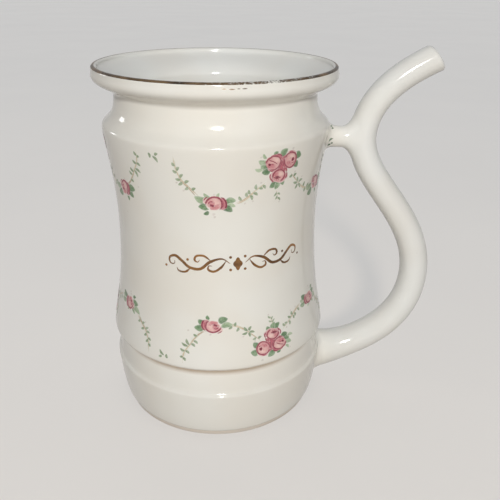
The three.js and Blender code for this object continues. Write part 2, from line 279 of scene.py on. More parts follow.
def settle(piece):
    """Makes what a piece's modifiers do part of its mesh."""
    evaluated = piece.evaluated_get(bpy.context.evaluated_depsgraph_get())
    finished = bpy.data.meshes.new_from_object(evaluated)
    piece.modifiers.clear()
    piece.data = finished


def mark(piece, label, values):
    """Gives each point of a piece a value that its material reads."""
    attribute = piece.data.attributes.new(label, "FLOAT", "POINT")
    attribute.data.foreach_set("value", values.astype(np.float32))


def new_piece(name, points, faces, material, replaced=(), sharp=None):
    """A piece of the cup that rides with it; its points are in millimetres."""
    mesh = bpy.data.meshes.new(name)
    mesh.from_pydata((np.asarray(points) * MM).tolist(), [], faces)
    mesh.validate()
    mesh.update()
    mesh.polygons.foreach_set("use_smooth", [True] * len(mesh.polygons))
    if sharp:
        mesh.set_sharp_from_angle(angle=sharp)
    mesh.materials.append(material)
    piece = put(name, mesh)
    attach(piece, "root")
    if replaced:
        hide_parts(*replaced)
    return piece


def skin(rows, around, closed, flip=False):
    """Quads over rows of points that each close on themselves.

    If closed, the last row joins the first. If not, a fan caps each end, to two points after all the rows.
    """
    faces = []
    for i in range(rows if closed else rows - 1):
        here, there = i * around, ((i + 1) % rows) * around
        for j in range(around):
            k = (j + 1) % around
            faces.append((here + j, here + k, there + k, there + j))
    if not closed:
        base, extra = (rows - 1) * around, rows * around
        faces += [((j + 1) % around, j, extra) for j in range(around)]
        faces += [(base + j, base + (j + 1) % around, extra + 1) for j in range(around)]
    return [face[::-1] for face in faces] if flip else faces


def turned(outline, closed=False):
    """An outline of (radius, height) turned about the upright axis, on which an open one starts and ends."""
    poles = [] if closed else [outline[0], outline[-1]]
    rows = outline if closed else outline[1:-1]
    angles = once_round(CUP_SIDES)
    ring = np.stack([np.cos(angles), np.sin(angles)], axis=1)
    points = [np.c_[row[0] * ring, np.full(CUP_SIDES, row[1])] for row in rows]
    points += [np.array([[0.0, 0.0, pole[1]]]) for pole in poles]
    return np.concatenate(points), skin(len(rows), CUP_SIDES, closed)


# Drinking tube's centre line, in the plane of the handle: (out from the axis, up)

def bend(start, end, leave, arrive):
    """A stretch of tube between two points, with how it leaves the first and arrives at the second."""
    return bezier(start, start + leave, end - arrive, end, count=BEND_STEPS)


port = np.array([BAND_RADIUS + PORT_SEAT_STANDOFF, PORT_HEIGHT])
loop = np.array([BULGE_RADIUS + FINGER_ROOM + TUBE_LOOP_DIAMETER / 2, LOOP_HEIGHT])
bridge_height = shoulder[1] - BRIDGE_DROP
bridge = np.array([SHOULDER_RADIUS + BRIDGE_LENGTH, bridge_height])
mouth = np.array([COLLAR_RADIUS + MOUTH_REACH, RIM_HEIGHT + MOUTH_RISE])
port_way = np.array([math.cos(PORT_TILT), math.sin(PORT_TILT)])
mouth_way = np.array([math.cos(MOUTH_TILT), math.sin(MOUTH_TILT)])
upright = np.array([0.0, 1.0])
lower_bend = bend(port, loop, port_way * (loop - port)[0] * 0.5, upright * (loop - port)[1] * 0.6)
middle_bend = bend(loop, bridge, upright * (bridge - loop)[1] * 0.46, upright * (bridge - loop)[1] * 0.31)
upper_bend = bend(bridge, mouth, upright * (mouth - bridge)[1] * 0.46, mouth_way * (mouth - bridge)[0] * 0.64)
loop_at = lengths(lower_bend)[-1]
bridge_at = loop_at + lengths(middle_bend)[-1]
route = even(np.concatenate([lower_bend, middle_bend[1:], upper_bend[1:]]), 0.05)
route_marks = lengths(route)
route_length = route_marks[-1]


def tube_radius(along):
    place = np.clip(along, 0, route_length)
    plain = np.interp(
        place, [0, loop_at, bridge_at, route_length],
        [TUBE_ROOT_DIAMETER, TUBE_LOOP_DIAMETER, TUBE_ARM_DIAMETER, TUBE_MOUTH_DIAMETER])
    flare = np.maximum(0, 1 - place / TUBE_FLARE_LENGTH) ** 2
    return (plain + flare * (TUBE_FOOT_DIAMETER - TUBE_ROOT_DIAMETER)) / 2


def on_route(along):
    """Points on the tube's centre line."""
    place = np.clip(along, 0, route_length)
    return np.stack([np.interp(place, route_marks, route[:, k]) for k in range(2)], axis=-1)


def tube_frame(along):
    """Centre, way along the tube and way across it, in the handle's plane; its ends run straight on."""
    along = np.asarray(along, float)
    place = np.clip(along, 0, route_length)
    way = on_route(place + TUBE_PROBE) - on_route(place - TUBE_PROBE)
    way /= np.linalg.norm(way, axis=-1, keepdims=True)
    centre = on_route(place) + way * (along - place)[..., None]
    flat = np.zeros(along.shape)
    centre = np.stack([centre[..., 0], flat, centre[..., 1]], axis=-1)
    across = np.stack([-way[..., 1], flat, way[..., 0]], axis=-1)
    way = np.stack([way[..., 0], flat, way[..., 1]], axis=-1)
    return centre, way, across


def on_tube(along, angle, radius):
    """Points round the tube; angle 0 is the side towards the cup's axis where the tube stands upright."""
    near_mouth = np.clip((along - route_length) / TUBE_MOUTH_DIAMETER + 1, 0, 1)
    slant = near_mouth**2 * (3 - 2 * near_mouth) * math.tan(MOUTH_CUT)
    centre, _, across = tube_frame(along - slant * radius * np.cos(angle))
    around = np.cos(angle)[..., None] * across + np.sin(angle)[..., None] * SIDEWAYS
    return centre + radius[..., None] * around


def tube_ring(along, radius, sides=TUBE_SIDES):
    """Points once round the tube at one place along it."""
    return on_tube(np.full(sides, along), once_round(sides), np.full(sides, radius))


# Shading

def rgb(red, green, blue):
    """A colour as the eye reads it, 0 to 255, turned into the light it sends back."""
    values = [channel / 255 for channel in (red, green, blue)]
    return [v / 12.92 if v <= 0.04045 else ((v + 0.055) / 1.055) ** 2.4 for v in values] + [1.0]


class Sheet:
    """Places nodes in a material or a group and joins them."""

    def __init__(self, tree):
        self.tree = tree

    def add(self, kind, **values):
        node = self.tree.nodes.new(kind)
        for key, value in values.items():
            setattr(node, key, value)
        return node

    def join(self, source, target):
        self.tree.links.new(source, target)

    def feed(self, socket, value):
        if isinstance(value, bpy.types.NodeSocket):
            self.join(value, socket)
        else:
            socket.default_value = value

    def maths(self, operation, *values, clamp=False):
        node = self.add("ShaderNodeMath", operation=operation, use_clamp=clamp)
        for socket, value in zip(node.inputs, values):
            self.feed(socket, value)
        return node.outputs[0]

    def mix(self, share, first, second):
        node = self.add("ShaderNodeMix", data_type="RGBA")
        self.feed(node.inputs["Factor"], share)
        self.feed(node.inputs[6], first)
        self.feed(node.inputs[7], second)
        return node.outputs[2]

    def between(self, value, low, high, to_low=0.0, to_high=1.0, smooth=False):
        node = self.add("ShaderNodeMapRange", interpolation_type="SMOOTHSTEP" if smooth else "LINEAR")
        for socket, entry in zip(node.inputs, (value, low, high, to_low, to_high)):
            self.feed(socket, entry)
        return node.outputs[0]

    def noise(self, vector, scale, detail=3.0, roughness=0.55):
        node = self.add("ShaderNodeTexNoise")
        self.join(vector, node.inputs["Vector"])
        node.inputs["Scale"].default_value = scale
        node.inputs["Detail"].default_value = detail
        node.inputs["Roughness"].default_value = roughness
        return node.outputs["Fac"]

    def spots(self, vector, scale):
        node = self.add("ShaderNodeTexVoronoi")
        self.join(vector, node.inputs["Vector"])
        node.inputs["Scale"].default_value = scale
        return node.outputs["Distance"]

    def place(self):
        return self.add("ShaderNodeTexCoord").outputs["Object"]

    def split(self, vector):
        node = self.add("ShaderNodeSeparateXYZ")
        self.join(vector, node.inputs[0])
        return list(node.outputs)


def new_group(name, inputs, outputs):
    tree = bpy.data.node_groups.new(name, "ShaderNodeTree")
    for label, kind, value in inputs:
        socket = tree.interface.new_socket(label, in_out="INPUT", socket_type=kind)
        socket.default_value = value
    for label, kind in outputs:
        tree.interface.new_socket(label, in_out="OUTPUT", socket_type=kind)
    sheet = Sheet(tree)
    return sheet, sheet.add("NodeGroupInput"), sheet.add("NodeGroupOutput")


def use_group(sheet, group, **values):
    node = sheet.add("ShaderNodeGroup")
    node.node_tree = group
    for label, value in values.items():
        sheet.feed(node.inputs[label.replace("_", " ")], value)
    return node


def new_material(name, **constants):
    material = bpy.data.materials.new(name)
    material.use_nodes = True
    sheet = Sheet(material.node_tree)
    shader = material.node_tree.nodes["Principled BSDF"]
    for label, value in constants.items():
        shader.inputs[label.replace("_", " ")].default_value = value
    return material, sheet, shader


COLOUR, NUMBER = "NodeSocketColor", "NodeSocketFloat"


def make_glaze_group():
    """Clear glaze over porcelain: slow drifts of tone, a few iron specks, uneven gloss and a faint ripple.

    The clay's colour changes from near the cup's axis to far from it, out along the handle.
    """
    sheet, start, end = new_group(
        "clear_glaze",
        [("Near", COLOUR, rgb(220, 216, 204)), ("Near Drift", COLOUR, rgb(222, 212, 200)),
         ("Far", COLOUR, rgb(220, 216, 204)), ("Far Drift", COLOUR, rgb(222, 212, 200)),
         ("Speck", COLOUR, rgb(120, 96, 76)), ("Speck Share", NUMBER, 0.06)],
        [("Colour", COLOUR), ("Gloss", NUMBER), ("Ripple", NUMBER)])
    place = sheet.place()
    squares = [sheet.maths("POWER", value, 2.0) for value in sheet.split(place)[:2]]
    radius = sheet.maths("SQRT", sheet.maths("ADD", *squares))
    far = sheet.between(radius, FAR_START * MM, FAR_END * MM, smooth=True)
    drift = sheet.between(sheet.noise(place, 34.0, 2.0), 0.38, 0.66, smooth=True)
    near_body = sheet.mix(drift, start.outputs["Near"], start.outputs["Near Drift"])
    far_body = sheet.mix(drift, start.outputs["Far"], start.outputs["Far Drift"])
    body = sheet.mix(far, near_body, far_body)
    grain = sheet.between(sheet.spots(place, 240.0), 0.0, 0.075, 1.0, 0.0)
    rare = sheet.between(sheet.noise(place, 95.0, 1.0), 0.63, 0.70)
    share = sheet.maths("MULTIPLY", start.outputs["Speck Share"], 8.0)
    speck = sheet.maths("MULTIPLY", sheet.maths("MULTIPLY", grain, rare), share, clamp=True)
    sheet.join(sheet.mix(speck, body, start.outputs["Speck"]), end.inputs["Colour"])
    sheet.join(sheet.between(sheet.noise(place, 70.0, 3.0), 0.3, 0.7, 0.055, 0.13), end.inputs["Gloss"])
    sheet.join(sheet.noise(place, 150.0, 2.0), end.inputs["Ripple"])
    return sheet.tree


def make_gold_group():
    """Fired gold rubbed away along the rim: how much gold is left, its tone and its polish."""
    sheet, start, end = new_group(
        "rubbed_gold",
        [("Bright", COLOUR, rgb(166, 124, 66)), ("Dull", COLOUR, rgb(96, 72, 44)),
         ("Rubbed", NUMBER, 0.5), ("Rubbed At", NUMBER, -1.25)],
        [("Left", NUMBER), ("Colour", COLOUR), ("Gloss", NUMBER)])
    place = sheet.place()
    x, y, height = sheet.split(place)
    azimuth = sheet.maths("ARCTAN2", y, x)
    streaks = sheet.add("ShaderNodeCombineXYZ")
    sheet.join(sheet.maths("MULTIPLY", azimuth, 0.02), streaks.inputs["X"])
    sheet.join(height, streaks.inputs["Z"])
    scratch = sheet.noise(streaks.outputs[0], 2600.0, 4.0, 0.7)
    patch = sheet.noise(place, 160.0, 3.0)
    away = sheet.maths("SUBTRACT", azimuth, start.outputs["Rubbed At"])
    near = sheet.between(sheet.maths("ABSOLUTE", away), 0.12, 0.75, 1.0, 0.0, smooth=True)
    wear = sheet.maths("MULTIPLY", near, start.outputs["Rubbed"])
    level = sheet.maths("ADD", sheet.maths("MULTIPLY", scratch, 0.6), sheet.maths("MULTIPLY", patch, 0.4))
    left = sheet.between(sheet.maths("SUBTRACT", level, sheet.maths("MULTIPLY", wear, 0.3)), 0.28, 0.36)
    sheet.join(left, end.inputs["Left"])
    sheet.join(sheet.mix(sheet.between(patch, 0.35, 0.65), start.outputs["Dull"], start.outputs["Bright"]),
               end.inputs["Colour"])
    sheet.join(sheet.between(scratch, 0.3, 0.7, 0.22, 0.42), end.inputs["Gloss"])
    return sheet.tree


def make_ink_group():
    """Transfer print: each point has its own shade and cover over the glaze, broken up by fine grain."""
    sheet, start, end = new_group(
        "transfer_ink",
        [("Pale", COLOUR, (1, 1, 1, 1)), ("Middle", COLOUR, (0.5, 0.5, 0.5, 1)),
         ("Deep", COLOUR, (0, 0, 0, 1)), ("Under", COLOUR, (1, 1, 1, 1)), ("Grain", NUMBER, 0.2)],
        [("Colour", COLOUR), ("Gloss", NUMBER)])
    place = sheet.place()
    shade = sheet.add("ShaderNodeAttribute", attribute_name="shade").outputs["Fac"]
    cover = sheet.add("ShaderNodeAttribute", attribute_name="cover").outputs["Fac"]
    grain = sheet.maths("SUBTRACT", sheet.noise(place, 1900.0, 2.0, 0.6), 0.5)
    wash = sheet.maths("SUBTRACT", sheet.noise(place, 420.0, 2.0), 0.5)
    loose = sheet.maths("MULTIPLY", sheet.maths("ADD", grain, wash), start.outputs["Grain"])
    shade = sheet.maths("ADD", shade, loose, clamp=True)
    cover = sheet.maths("ADD", cover, loose, clamp=True)
    light = sheet.mix(sheet.between(shade, 0.0, 0.5), start.outputs["Pale"], start.outputs["Middle"])
    ink = sheet.mix(sheet.between(shade, 0.5, 1.0), light, start.outputs["Deep"])
    sheet.join(sheet.mix(cover, start.outputs["Under"], ink), end.inputs["Colour"])
    sheet.join(sheet.between(wash, -0.3, 0.3, 0.08, 0.16), end.inputs["Gloss"])
    return sheet.tree


# Clay and glaze colours, plain and drifted, the painted shades in the crease and at the foot's notch, and
# where on the cup they change, in millimetres
CREAM = rgb(236, 234, 227), rgb(233, 229, 220)
WHITE = rgb(235, 235, 231), rgb(232, 230, 224)
FAR_START, FAR_END = 38.5, 46.0
BISCUIT = rgb(212, 202, 190)
DRY_FULL, DRY_END = 1.95, 2.3
# Painted shade: a dark band at the notch where the glazed wall meets the dry foot, where its shadow falls
FOOT_NOTCH_SHADE = rgb(140, 128, 114)
NOTCH_SHADE_FULL, NOTCH_SHADE_END = 0.15, 0.5
# Painted shade: a brown colour laid in the crease under the bulge, where its shadow falls
CREASE_SHADE_PAINT = rgb(168, 148, 126)
CREASE_SHADE_HEIGHT, CREASE_SHADE_FULL, CREASE_SHADE_END = 28.1, 0.5, 2.3
GLAZE_IOR, INK_IOR = 1.52, 1.5
RIPPLE_STRENGTH, RIPPLE_DEPTH = 0.05, 0.2
INSIDE_START, INSIDE_FULL = 1.0, 1.8
GOLD_SHEEN = 0.55

clear_glaze = make_glaze_group()
rubbed_gold = make_gold_group()
transfer_ink = make_ink_group()


def glazed(name, near, far, speck_share):
    """A glaze with its clay colours, plain and drifted, near the cup's axis and far from it."""
    material, sheet, shader = new_material(name, IOR=GLAZE_IOR)
    glaze = use_group(sheet, clear_glaze, Near=near[0], Near_Drift=near[1], Far=far[0], Far_Drift=far[1],
                      Speck_Share=speck_share)
    bump = sheet.add("ShaderNodeBump")
    bump.inputs["Strength"].default_value = RIPPLE_STRENGTH
    bump.inputs["Distance"].default_value = RIPPLE_DEPTH * MM
    sheet.join(glaze.outputs["Ripple"], bump.inputs["Height"])
    sheet.join(bump.outputs[0], shader.inputs["Normal"])
    sheet.join(glaze.outputs["Colour"], shader.inputs["Base Color"])
    sheet.join(glaze.outputs["Gloss"], shader.inputs["Roughness"])
    return material, sheet, shader, glaze


def cup_glazed(name):
    """The cup's glaze: cream outside, white inside, painted brown shade in the crease and painted shade at
    the foot's notch, and wiped off the dry foot.
    """
    material, sheet, shader, glaze = glazed(name, CREAM, CREAM, 0.06)
    inner = use_group(sheet, clear_glaze, Near=WHITE[0], Near_Drift=WHITE[1], Far=WHITE[0],
                      Far_Drift=WHITE[1], Speck_Share=0.03)
    inside = sheet.add("ShaderNodeAttribute", attribute_name="inside").outputs["Fac"]
    _, _, height = sheet.split(sheet.place())
    ragged = sheet.maths("ADD", height, sheet.maths("MULTIPLY", sheet.noise(sheet.place(), 120.0), 0.5 * MM))
    dry = sheet.between(ragged, DRY_FULL * MM, DRY_END * MM, 1.0, 0.0)
    from_crease = sheet.maths("ABSOLUTE", sheet.maths("SUBTRACT", ragged, CREASE_SHADE_HEIGHT * MM))
    # Painted shade in the crease, where the bulge's shadow falls; the same mask also dulls the gloss there
    painted_crease_shade = sheet.between(from_crease, CREASE_SHADE_FULL * MM, CREASE_SHADE_END * MM, 0.88, 0.0, smooth=True)
    from_corner = sheet.maths("ABSOLUTE", sheet.maths("SUBTRACT", height, FOOT_PAD_HEIGHT * MM))
    # Painted shade at the notch above the dry foot
    painted_notch_shade = sheet.between(from_corner, NOTCH_SHADE_FULL * MM, NOTCH_SHADE_END * MM, 0.8, 0.0, smooth=True)
    colour = sheet.mix(painted_crease_shade, glaze.outputs["Colour"], CREASE_SHADE_PAINT)
    colour = sheet.mix(inside, colour, inner.outputs["Colour"])
    colour = sheet.mix(dry, colour, BISCUIT)
    sheet.join(sheet.mix(painted_notch_shade, colour, FOOT_NOTCH_SHADE), shader.inputs["Base Color"])
    dull = sheet.maths("MAXIMUM", sheet.maths("MULTIPLY", dry, 0.7),
                       sheet.maths("MULTIPLY", painted_crease_shade, 1.1, clamp=True))
    sheet.join(sheet.maths("MAXIMUM", glaze.outputs["Gloss"], dull), shader.inputs["Roughness"])
    return material


def gilded(name, rubbed, rubbed_at, bright, dull):
    """Gold rubbed away most at one angle round the cup, where the glaze under it shows."""
    material, sheet, shader = new_material(name, IOR=GLAZE_IOR)
    gold = use_group(sheet, rubbed_gold, Rubbed=rubbed, Rubbed_At=rubbed_at, Bright=bright, Dull=dull)
    left = gold.outputs["Left"]
    sheet.join(sheet.mix(left, CREAM[0], gold.outputs["Colour"]), shader.inputs["Base Color"])
    sheet.join(sheet.maths("MULTIPLY", left, GOLD_SHEEN), shader.inputs["Metallic"])
    sheet.join(gold.outputs["Gloss"], shader.inputs["Roughness"])
    return material


def inked(name, pale, middle, deep, grain):
    """A print's ink from its palest shade to its deepest, over the cream glaze."""
    material, sheet, shader = new_material(name, IOR=INK_IOR)
    ink = use_group(sheet, transfer_ink, Pale=pale, Middle=middle, Deep=deep, Grain=grain, Under=CREAM[0])
    sheet.join(ink.outputs["Colour"], shader.inputs["Base Color"])
    sheet.join(ink.outputs["Gloss"], shader.inputs["Roughness"])
    return material


cream_glaze = cup_glazed("cream_glaze")
white_glaze = glazed("white_glaze", CREAM, WHITE, 0.03)[0]
slip_glaze = glazed("slip_glaze", CREAM, WHITE, 0.04)[0]
rim_gold = gilded("rim_gold", 0.5, -1.25, rgb(126, 102, 74), rgb(66, 54, 42))
trace_gold = gilded("trace_gold", 0.2, -1.4, rgb(132, 114, 92), rgb(92, 76, 60))
flourish_gold = gilded("flourish_gold", 0.25, -2.0, rgb(164, 118, 70), rgb(104, 74, 48))
rose_ink = inked("rose_ink", rgb(238, 204, 196), rgb(196, 106, 120), rgb(100, 24, 44), 0.22)
leaf_ink = inked("leaf_ink", rgb(186, 200, 170), rgb(112, 144, 104), rgb(54, 82, 58), 0.35)
sprig_ink = inked("sprig_ink", rgb(206, 210, 190), rgb(150, 166, 136), rgb(90, 114, 84), 0.4)
stem_ink = inked("stem_ink", rgb(224, 210, 172), rgb(186, 158, 118), rgb(140, 110, 80), 0.3)
bud_ink = inked("bud_ink", rgb(222, 212, 208), rgb(204, 192, 182), rgb(160, 148, 138), 0.3)


# Cup

def make_cup():
    outline = np.concatenate([[(0.0, 0.0)], foot_outline, wall_outline, inside_outline])
    fine = even(outline[1:-1], OUTLINE_STEP)
    outline = np.concatenate([outline[:1], thinned(fine), outline[-1:]])
    points, faces = turned(outline)
    return new_piece("cup_wall", points, faces, cream_glaze, ("cup_body",), CUP_SHARP)


def cut_port(cup):
    """The opening inside the cup, low in the wall, where the tube draws its water."""
    rows = np.array([-inner_radius * 0.3, PORT_CUT_END])
    points = np.concatenate([tube_ring(along, BORE_DIAMETER / 2, BORE_SIDES) for along in rows])
    ends, _, _ = tube_frame(rows)
    mesh = bpy.data.meshes.new("port_cutter")
    faces = skin(len(rows), BORE_SIDES, closed=False)
    mesh.from_pydata((np.concatenate([points, ends]) * MM).tolist(), [], faces)
    cutter = put("port_cutter", mesh)
    cut = cup.modifiers.new("port", "BOOLEAN")
    cut.operation = "DIFFERENCE"
    cut.solver = "EXACT"
    cut.object = cutter
    settle(cup)
    bpy.data.objects.remove(cutter)


def mark_inside(cup):
    """Marks the points inside the cup, where the glaze is white."""
    spots = np.array([vertex.co for vertex in cup.data.vertices]) / MM
    radius = np.hypot(spots[:, 0], spots[:, 1])
    outside = wall_radius(np.clip(spots[:, 2], FLOOR - 1, lip_centre[1]))
    depth = (outside - radius - INSIDE_START) / (INSIDE_FULL - INSIDE_START)
    inside = np.clip(depth, 0, 1) * (spots[:, 2] > FLOOR - 1)
    mark(cup, "inside", inside)


def make_tube():
    end = route_length - MOUTH_ROUND
    side = np.arange(TUBE_START, end, 1.1)
    outer = [(along, tube_radius(along)) for along in side]
    edge_centre = (end, float(tube_radius(end)) - MOUTH_ROUND)
    outer += [tuple(p) for p in arc(edge_centre, MOUTH_ROUND, math.pi / 2, 0, 9)]
    bore = BORE_DIAMETER / 2
    lip = arc((route_length - BORE_LIP, bore + BORE_LIP), BORE_LIP, 0, -math.pi / 2, 5)
    inner = [tuple(p) for p in lip]
    inner += [(along, bore) for along in np.arange(route_length - 4, TUBE_START, -3.0)]
    inner.append((TUBE_START, bore))
    rows = np.array(outer + inner)
    points = np.concatenate([tube_ring(along, radius) for along, radius in rows])
    faces = skin(len(rows), TUBE_SIDES, closed=True)
    new_piece("drinking_tube", points, faces, white_glaze, ("sipping_handle",), TUBE_SHARP)


def wall_edge(azimuth, height, middle_height):
    """The slip's edge on the wall, and the way along the wall towards the middle of the joint."""
    root = on_wall(azimuth, height, -SLIP_SUNK)
    leave = on_wall(azimuth * 0.9, middle_height + (height - middle_height) * 0.9) - root
    return root, leave / np.linalg.norm(leave, axis=1)[:, None]


def bridge_curves(angles):
    """The bridge's skin at angles round it: it leaves along the wall, narrows and runs out on the tube."""
    rise, spread = np.cos(angles), np.sin(angles)
    upright_reach = np.where(rise > 0, BRIDGE_SPREAD_UP, BRIDGE_SPREAD_DOWN)
    reach = upright_reach * np.abs(rise) ** 2 + BRIDGE_SPREAD_SIDE * spread**2
    height = bridge_height + reach * rise
    azimuth = np.arcsin(reach * spread / wall_radius(height))
    root, leave = wall_edge(azimuth, height, bridge_height)
    thin = np.stack([
        np.full(len(angles), BRIDGE_WAIST_X),
        BRIDGE_RADIUS * spread,
        bridge_height + BRIDGE_RADIUS * rise], axis=1)
    along = bridge_at + np.where(rise > 0, BRIDGE_RUN_UP, BRIDGE_RUN_DOWN) * rise
    turn = BRIDGE_WRAP * spread
    tip = on_tube(along, turn, tube_radius(along) - SLIP_SUNK)
    _, way, across = tube_frame(along)
    round_tube = np.cos(turn)[:, None] * SIDEWAYS - np.sin(turn)[:, None] * across
    run_out = rise[:, None] * way + spread[:, None] * round_tube
    run_out /= np.linalg.norm(run_out, axis=1)[:, None]
    slide = (2.6 + 2.4 * spread**2)[:, None]
    near = root, root + leave * slide, thin - OUTWARD * 2.2, thin
    far = thin, thin + OUTWARD * 1.8, tip - run_out * 3.0, tip
    return near, far


def along_curve(curve, t):
    """Points at a share t of the way along curves that each have four handles."""
    t = np.asarray(t, float)[..., None]
    return sum(math.comb(3, i) * (1 - t) ** (3 - i) * t**i * curve[i] for i in range(4))


def make_bridge():
    near, far = bridge_curves(once_round(TUBE_SIDES))
    steps = np.linspace(0, 1, 17)
    rows = [along_curve(near, t) for t in steps] + [along_curve(far, t) for t in steps[1:]]
    first = rows[0] - OUTWARD * BRIDGE_ROOT_SUNK
    centre, _, _ = tube_frame(np.array([bridge_at]))
    last = rows[-1] + (centre[0] - rows[-1]) * 0.3
    rows = [first] + rows + [last]
    points = np.concatenate(rows + [np.array([first.mean(0), last.mean(0)])])
    faces = skin(len(rows), TUBE_SIDES, closed=False, flip=True)
    new_piece("tube_bridge", points, faces, slip_glaze, ("bridge_slip_joint",), TUBE_SHARP)


def make_port_fillet():
    """Slip smoothed into the corner where the tube meets the foot band."""
    tube_end = tube_ring(PORT_SLIP_RUN, float(tube_radius(PORT_SLIP_RUN)) - SLIP_SUNK)
    centre, way, _ = tube_frame(np.array([PORT_SLIP_ROOT]))
    out_from = tube_end - (centre + way * (PORT_SLIP_RUN - PORT_SLIP_ROOT))
    out_from /= np.linalg.norm(out_from, axis=1)[:, None]
    spread_to = centre + out_from * (TUBE_FOOT_DIAMETER / 2 + PORT_SLIP_SPREAD)
    height = spread_to[:, 2]
    azimuth = np.arcsin(spread_to[:, 1] / wall_radius(height))
    root, leave = wall_edge(azimuth, height, PORT_HEIGHT)
    curve = root, root + leave * 1.4, tube_end - way * 1.6, tube_end
    rows = [along_curve(curve, t) for t in np.linspace(0, 1, 13)]
    rows += [tube_ring(along, PORT_SLIP_INNER_RADIUS) for along in (PORT_SLIP_RUN, PORT_SLIP_START)]
    points = np.concatenate(rows)
    faces = skin(len(rows), TUBE_SIDES, closed=True)
    new_piece("port_fillet", points, faces, slip_glaze, ("port_slip_joint",), TUBE_SHARP)


def make_rim_gold():
    over = arc(lip_centre, LIP_ROUND + GILDING_FILM, GILDING_FROM, GILDING_TO, 16)
    under = arc(lip_centre, LIP_ROUND - GILDING_FILM, GILDING_TO, GILDING_FROM, 16)
    points, faces = turned(np.concatenate([over, under]), closed=True)
    new_piece("rim_gold_line", points, faces, rim_gold, ("rim_gilding",), CUP_SHARP)


cup = make_cup()
cut_port(cup)
mark_inside(cup)
make_tube()
make_bridge()
make_port_fillet()
make_rim_gold()


# Where the prints go: swags by angle round the cup, with the stretch and lean of their side roses
UPPER_HEIGHT, LOWER_HEIGHT = 85.0, 45.4
UPPER_TALL, LOWER_TALL = 1.0, 0.93
SWAGS = [(-60, (1.0, 1.0), 0.0), (62, (1.0, 1.0), 0.0), (-175.6, (0.8, 1.12), -0.16)]
GAP_AZIMUTHS = {"upper": (-120, 120), "lower": (-116.5, 0, 120)}
CLUSTER_DROP = {"upper": 0.0, "lower": 1.0}
FLOURISH_AZIMUTH, FLOURISH_HEIGHT = math.radians(-79), 65.5
TRACE_AZIMUTH = -80
PRINT_RADIUS = 34.5
BRIDGE_ROOT_LENGTH = 6.0

# How the prints are drawn: ink films lie over each other in this order, each at its own lift off the glaze
INKS = {
    "washes": (sprig_ink, 0.008), "stems": (stem_ink, 0.014), "buds": (bud_ink, 0.018),
    "leaves": (leaf_ink, 0.024), "sprigs": (sprig_ink, 0.028), "roses": (rose_ink, 0.055)}
FILM_LIFT = 0.02
FILM_STEP = 0.0012
FILM_THICKNESS = 0.02
CURVE_STEP = 0.2
FOLD_WIDTH = 1.45
CLUSTER_LEAN = 0.2
LEAF_ROUND = 0.62
LEAFLET_LENGTH = 1.08
LEAFLET_WIDTH = 0.95
STEM_WASH = 1.8


# Prints laid out flat, in millimetres: u to the right, v up. Each shape is (points, faces, shades, covers).

def blob(middle, half, turn=0.0, shade=(0.2, 0.6), cover=(0.95, 0.4), wobble=0.05, lobes=5, sides=26, rings=4,
         fades_to=None):
    """A rounded patch; shade and cover run from its middle to its edge, and it may fade out on one side."""
    angles = once_round(sides)
    edge = 1 + wobble * np.cos(lobes * angles + turn)
    points, shades, covers = [np.zeros((1, 2))], [np.array([shade[0]])], [np.array([cover[0]])]
    for i in range(1, rings + 1):
        share = i / rings
        points.append(np.stack([np.cos(angles), np.sin(angles)], axis=1) * (edge * share)[:, None])
        shades.append(np.full(sides, shade[0] + (shade[1] - shade[0]) * share**2))
        ring_cover = np.full(sides, cover[1] if i == rings else cover[0])
        if fades_to is not None:
            ring_cover *= 1 - share * np.clip(np.cos(angles - math.radians(fades_to)), 0, 1)
        covers.append(ring_cover)
    cosine, sine = math.cos(turn), math.sin(turn)
    points = np.concatenate(points) * np.array(half)
    points = points @ np.array([[cosine, sine], [-sine, cosine]]) + np.array(middle)
    faces = [(0, 1 + j, 1 + (j + 1) % sides) for j in range(sides)]
    for i in range(rings - 1):
        here, there = 1 + i * sides, 1 + (i + 1) * sides
        for j in range(sides):
            k = (j + 1) % sides
            faces.append((here + j, there + j, there + k, here + k))
    return points, faces, np.concatenate(shades), np.concatenate(covers)


def stroke(line, width, shade, taper, fade=0.0, cover=(0.95, 0.35), edge_shade=None):
    """A brush line, full in the middle and tapered at its ends; a fade pales it towards the end."""
    line = even(np.asarray(line, float), min(0.5, max(0.12, width * 0.8)))
    along = lengths(line) / lengths(line)[-1]
    ways = np.gradient(line, axis=0)
    ways /= np.linalg.norm(ways, axis=1)[:, None]
    square = np.stack([-ways[:, 1], ways[:, 0]], axis=1)
    full = np.minimum(1, np.minimum(along, 1 - along) / max(taper, 1e-6) + 0.15)
    half = (width / 2 * full)[:, None]
    points = np.concatenate([line + square * half, line, line - square * half])
    n = len(line)
    faces = []
    for i in range(n - 1):
        faces.append((n + i, n + i + 1, i + 1, i))
        faces.append((2 * n + i, 2 * n + i + 1, n + i + 1, n + i))
    middle = shade - fade * along
    edge = middle if edge_shade is None else np.full(n, edge_shade)
    shades = np.concatenate([edge, middle, edge])
    ends = np.clip(full * 1.2, 0.3, 1)
    covers = np.concatenate([cover[1] * ends, cover[0] * ends, cover[1] * ends])
    return points, faces, shades, covers


def fold(points, width, shade, taper):
    """A line between petals: it covers fully and softens into the petals on both sides."""
    return stroke(curve_through(points), width * FOLD_WIDTH, shade, taper, cover=(1.0, 0.95), edge_shade=0.56)


def curve_through(points):
    """A smooth line through a few points."""
    knots = np.asarray(points, float)
    ends = np.r_[2 * knots[:1] - knots[1:2], knots, 2 * knots[-1:] - knots[-2:-1]]
    pieces = []
    for a, b, c, d in zip(ends, ends[1:], ends[2:], ends[3:]):
        t = np.linspace(0, 1, 16, endpoint=False)[:, None]
        pieces.append(0.5 * (2 * b + (c - a) * t + (2 * a - 5 * b + 4 * c - d) * t**2
                             + (3 * b - a - 3 * c + d) * t**3))
    return even(np.concatenate(pieces + [knots[-1:]]), CURVE_STEP)


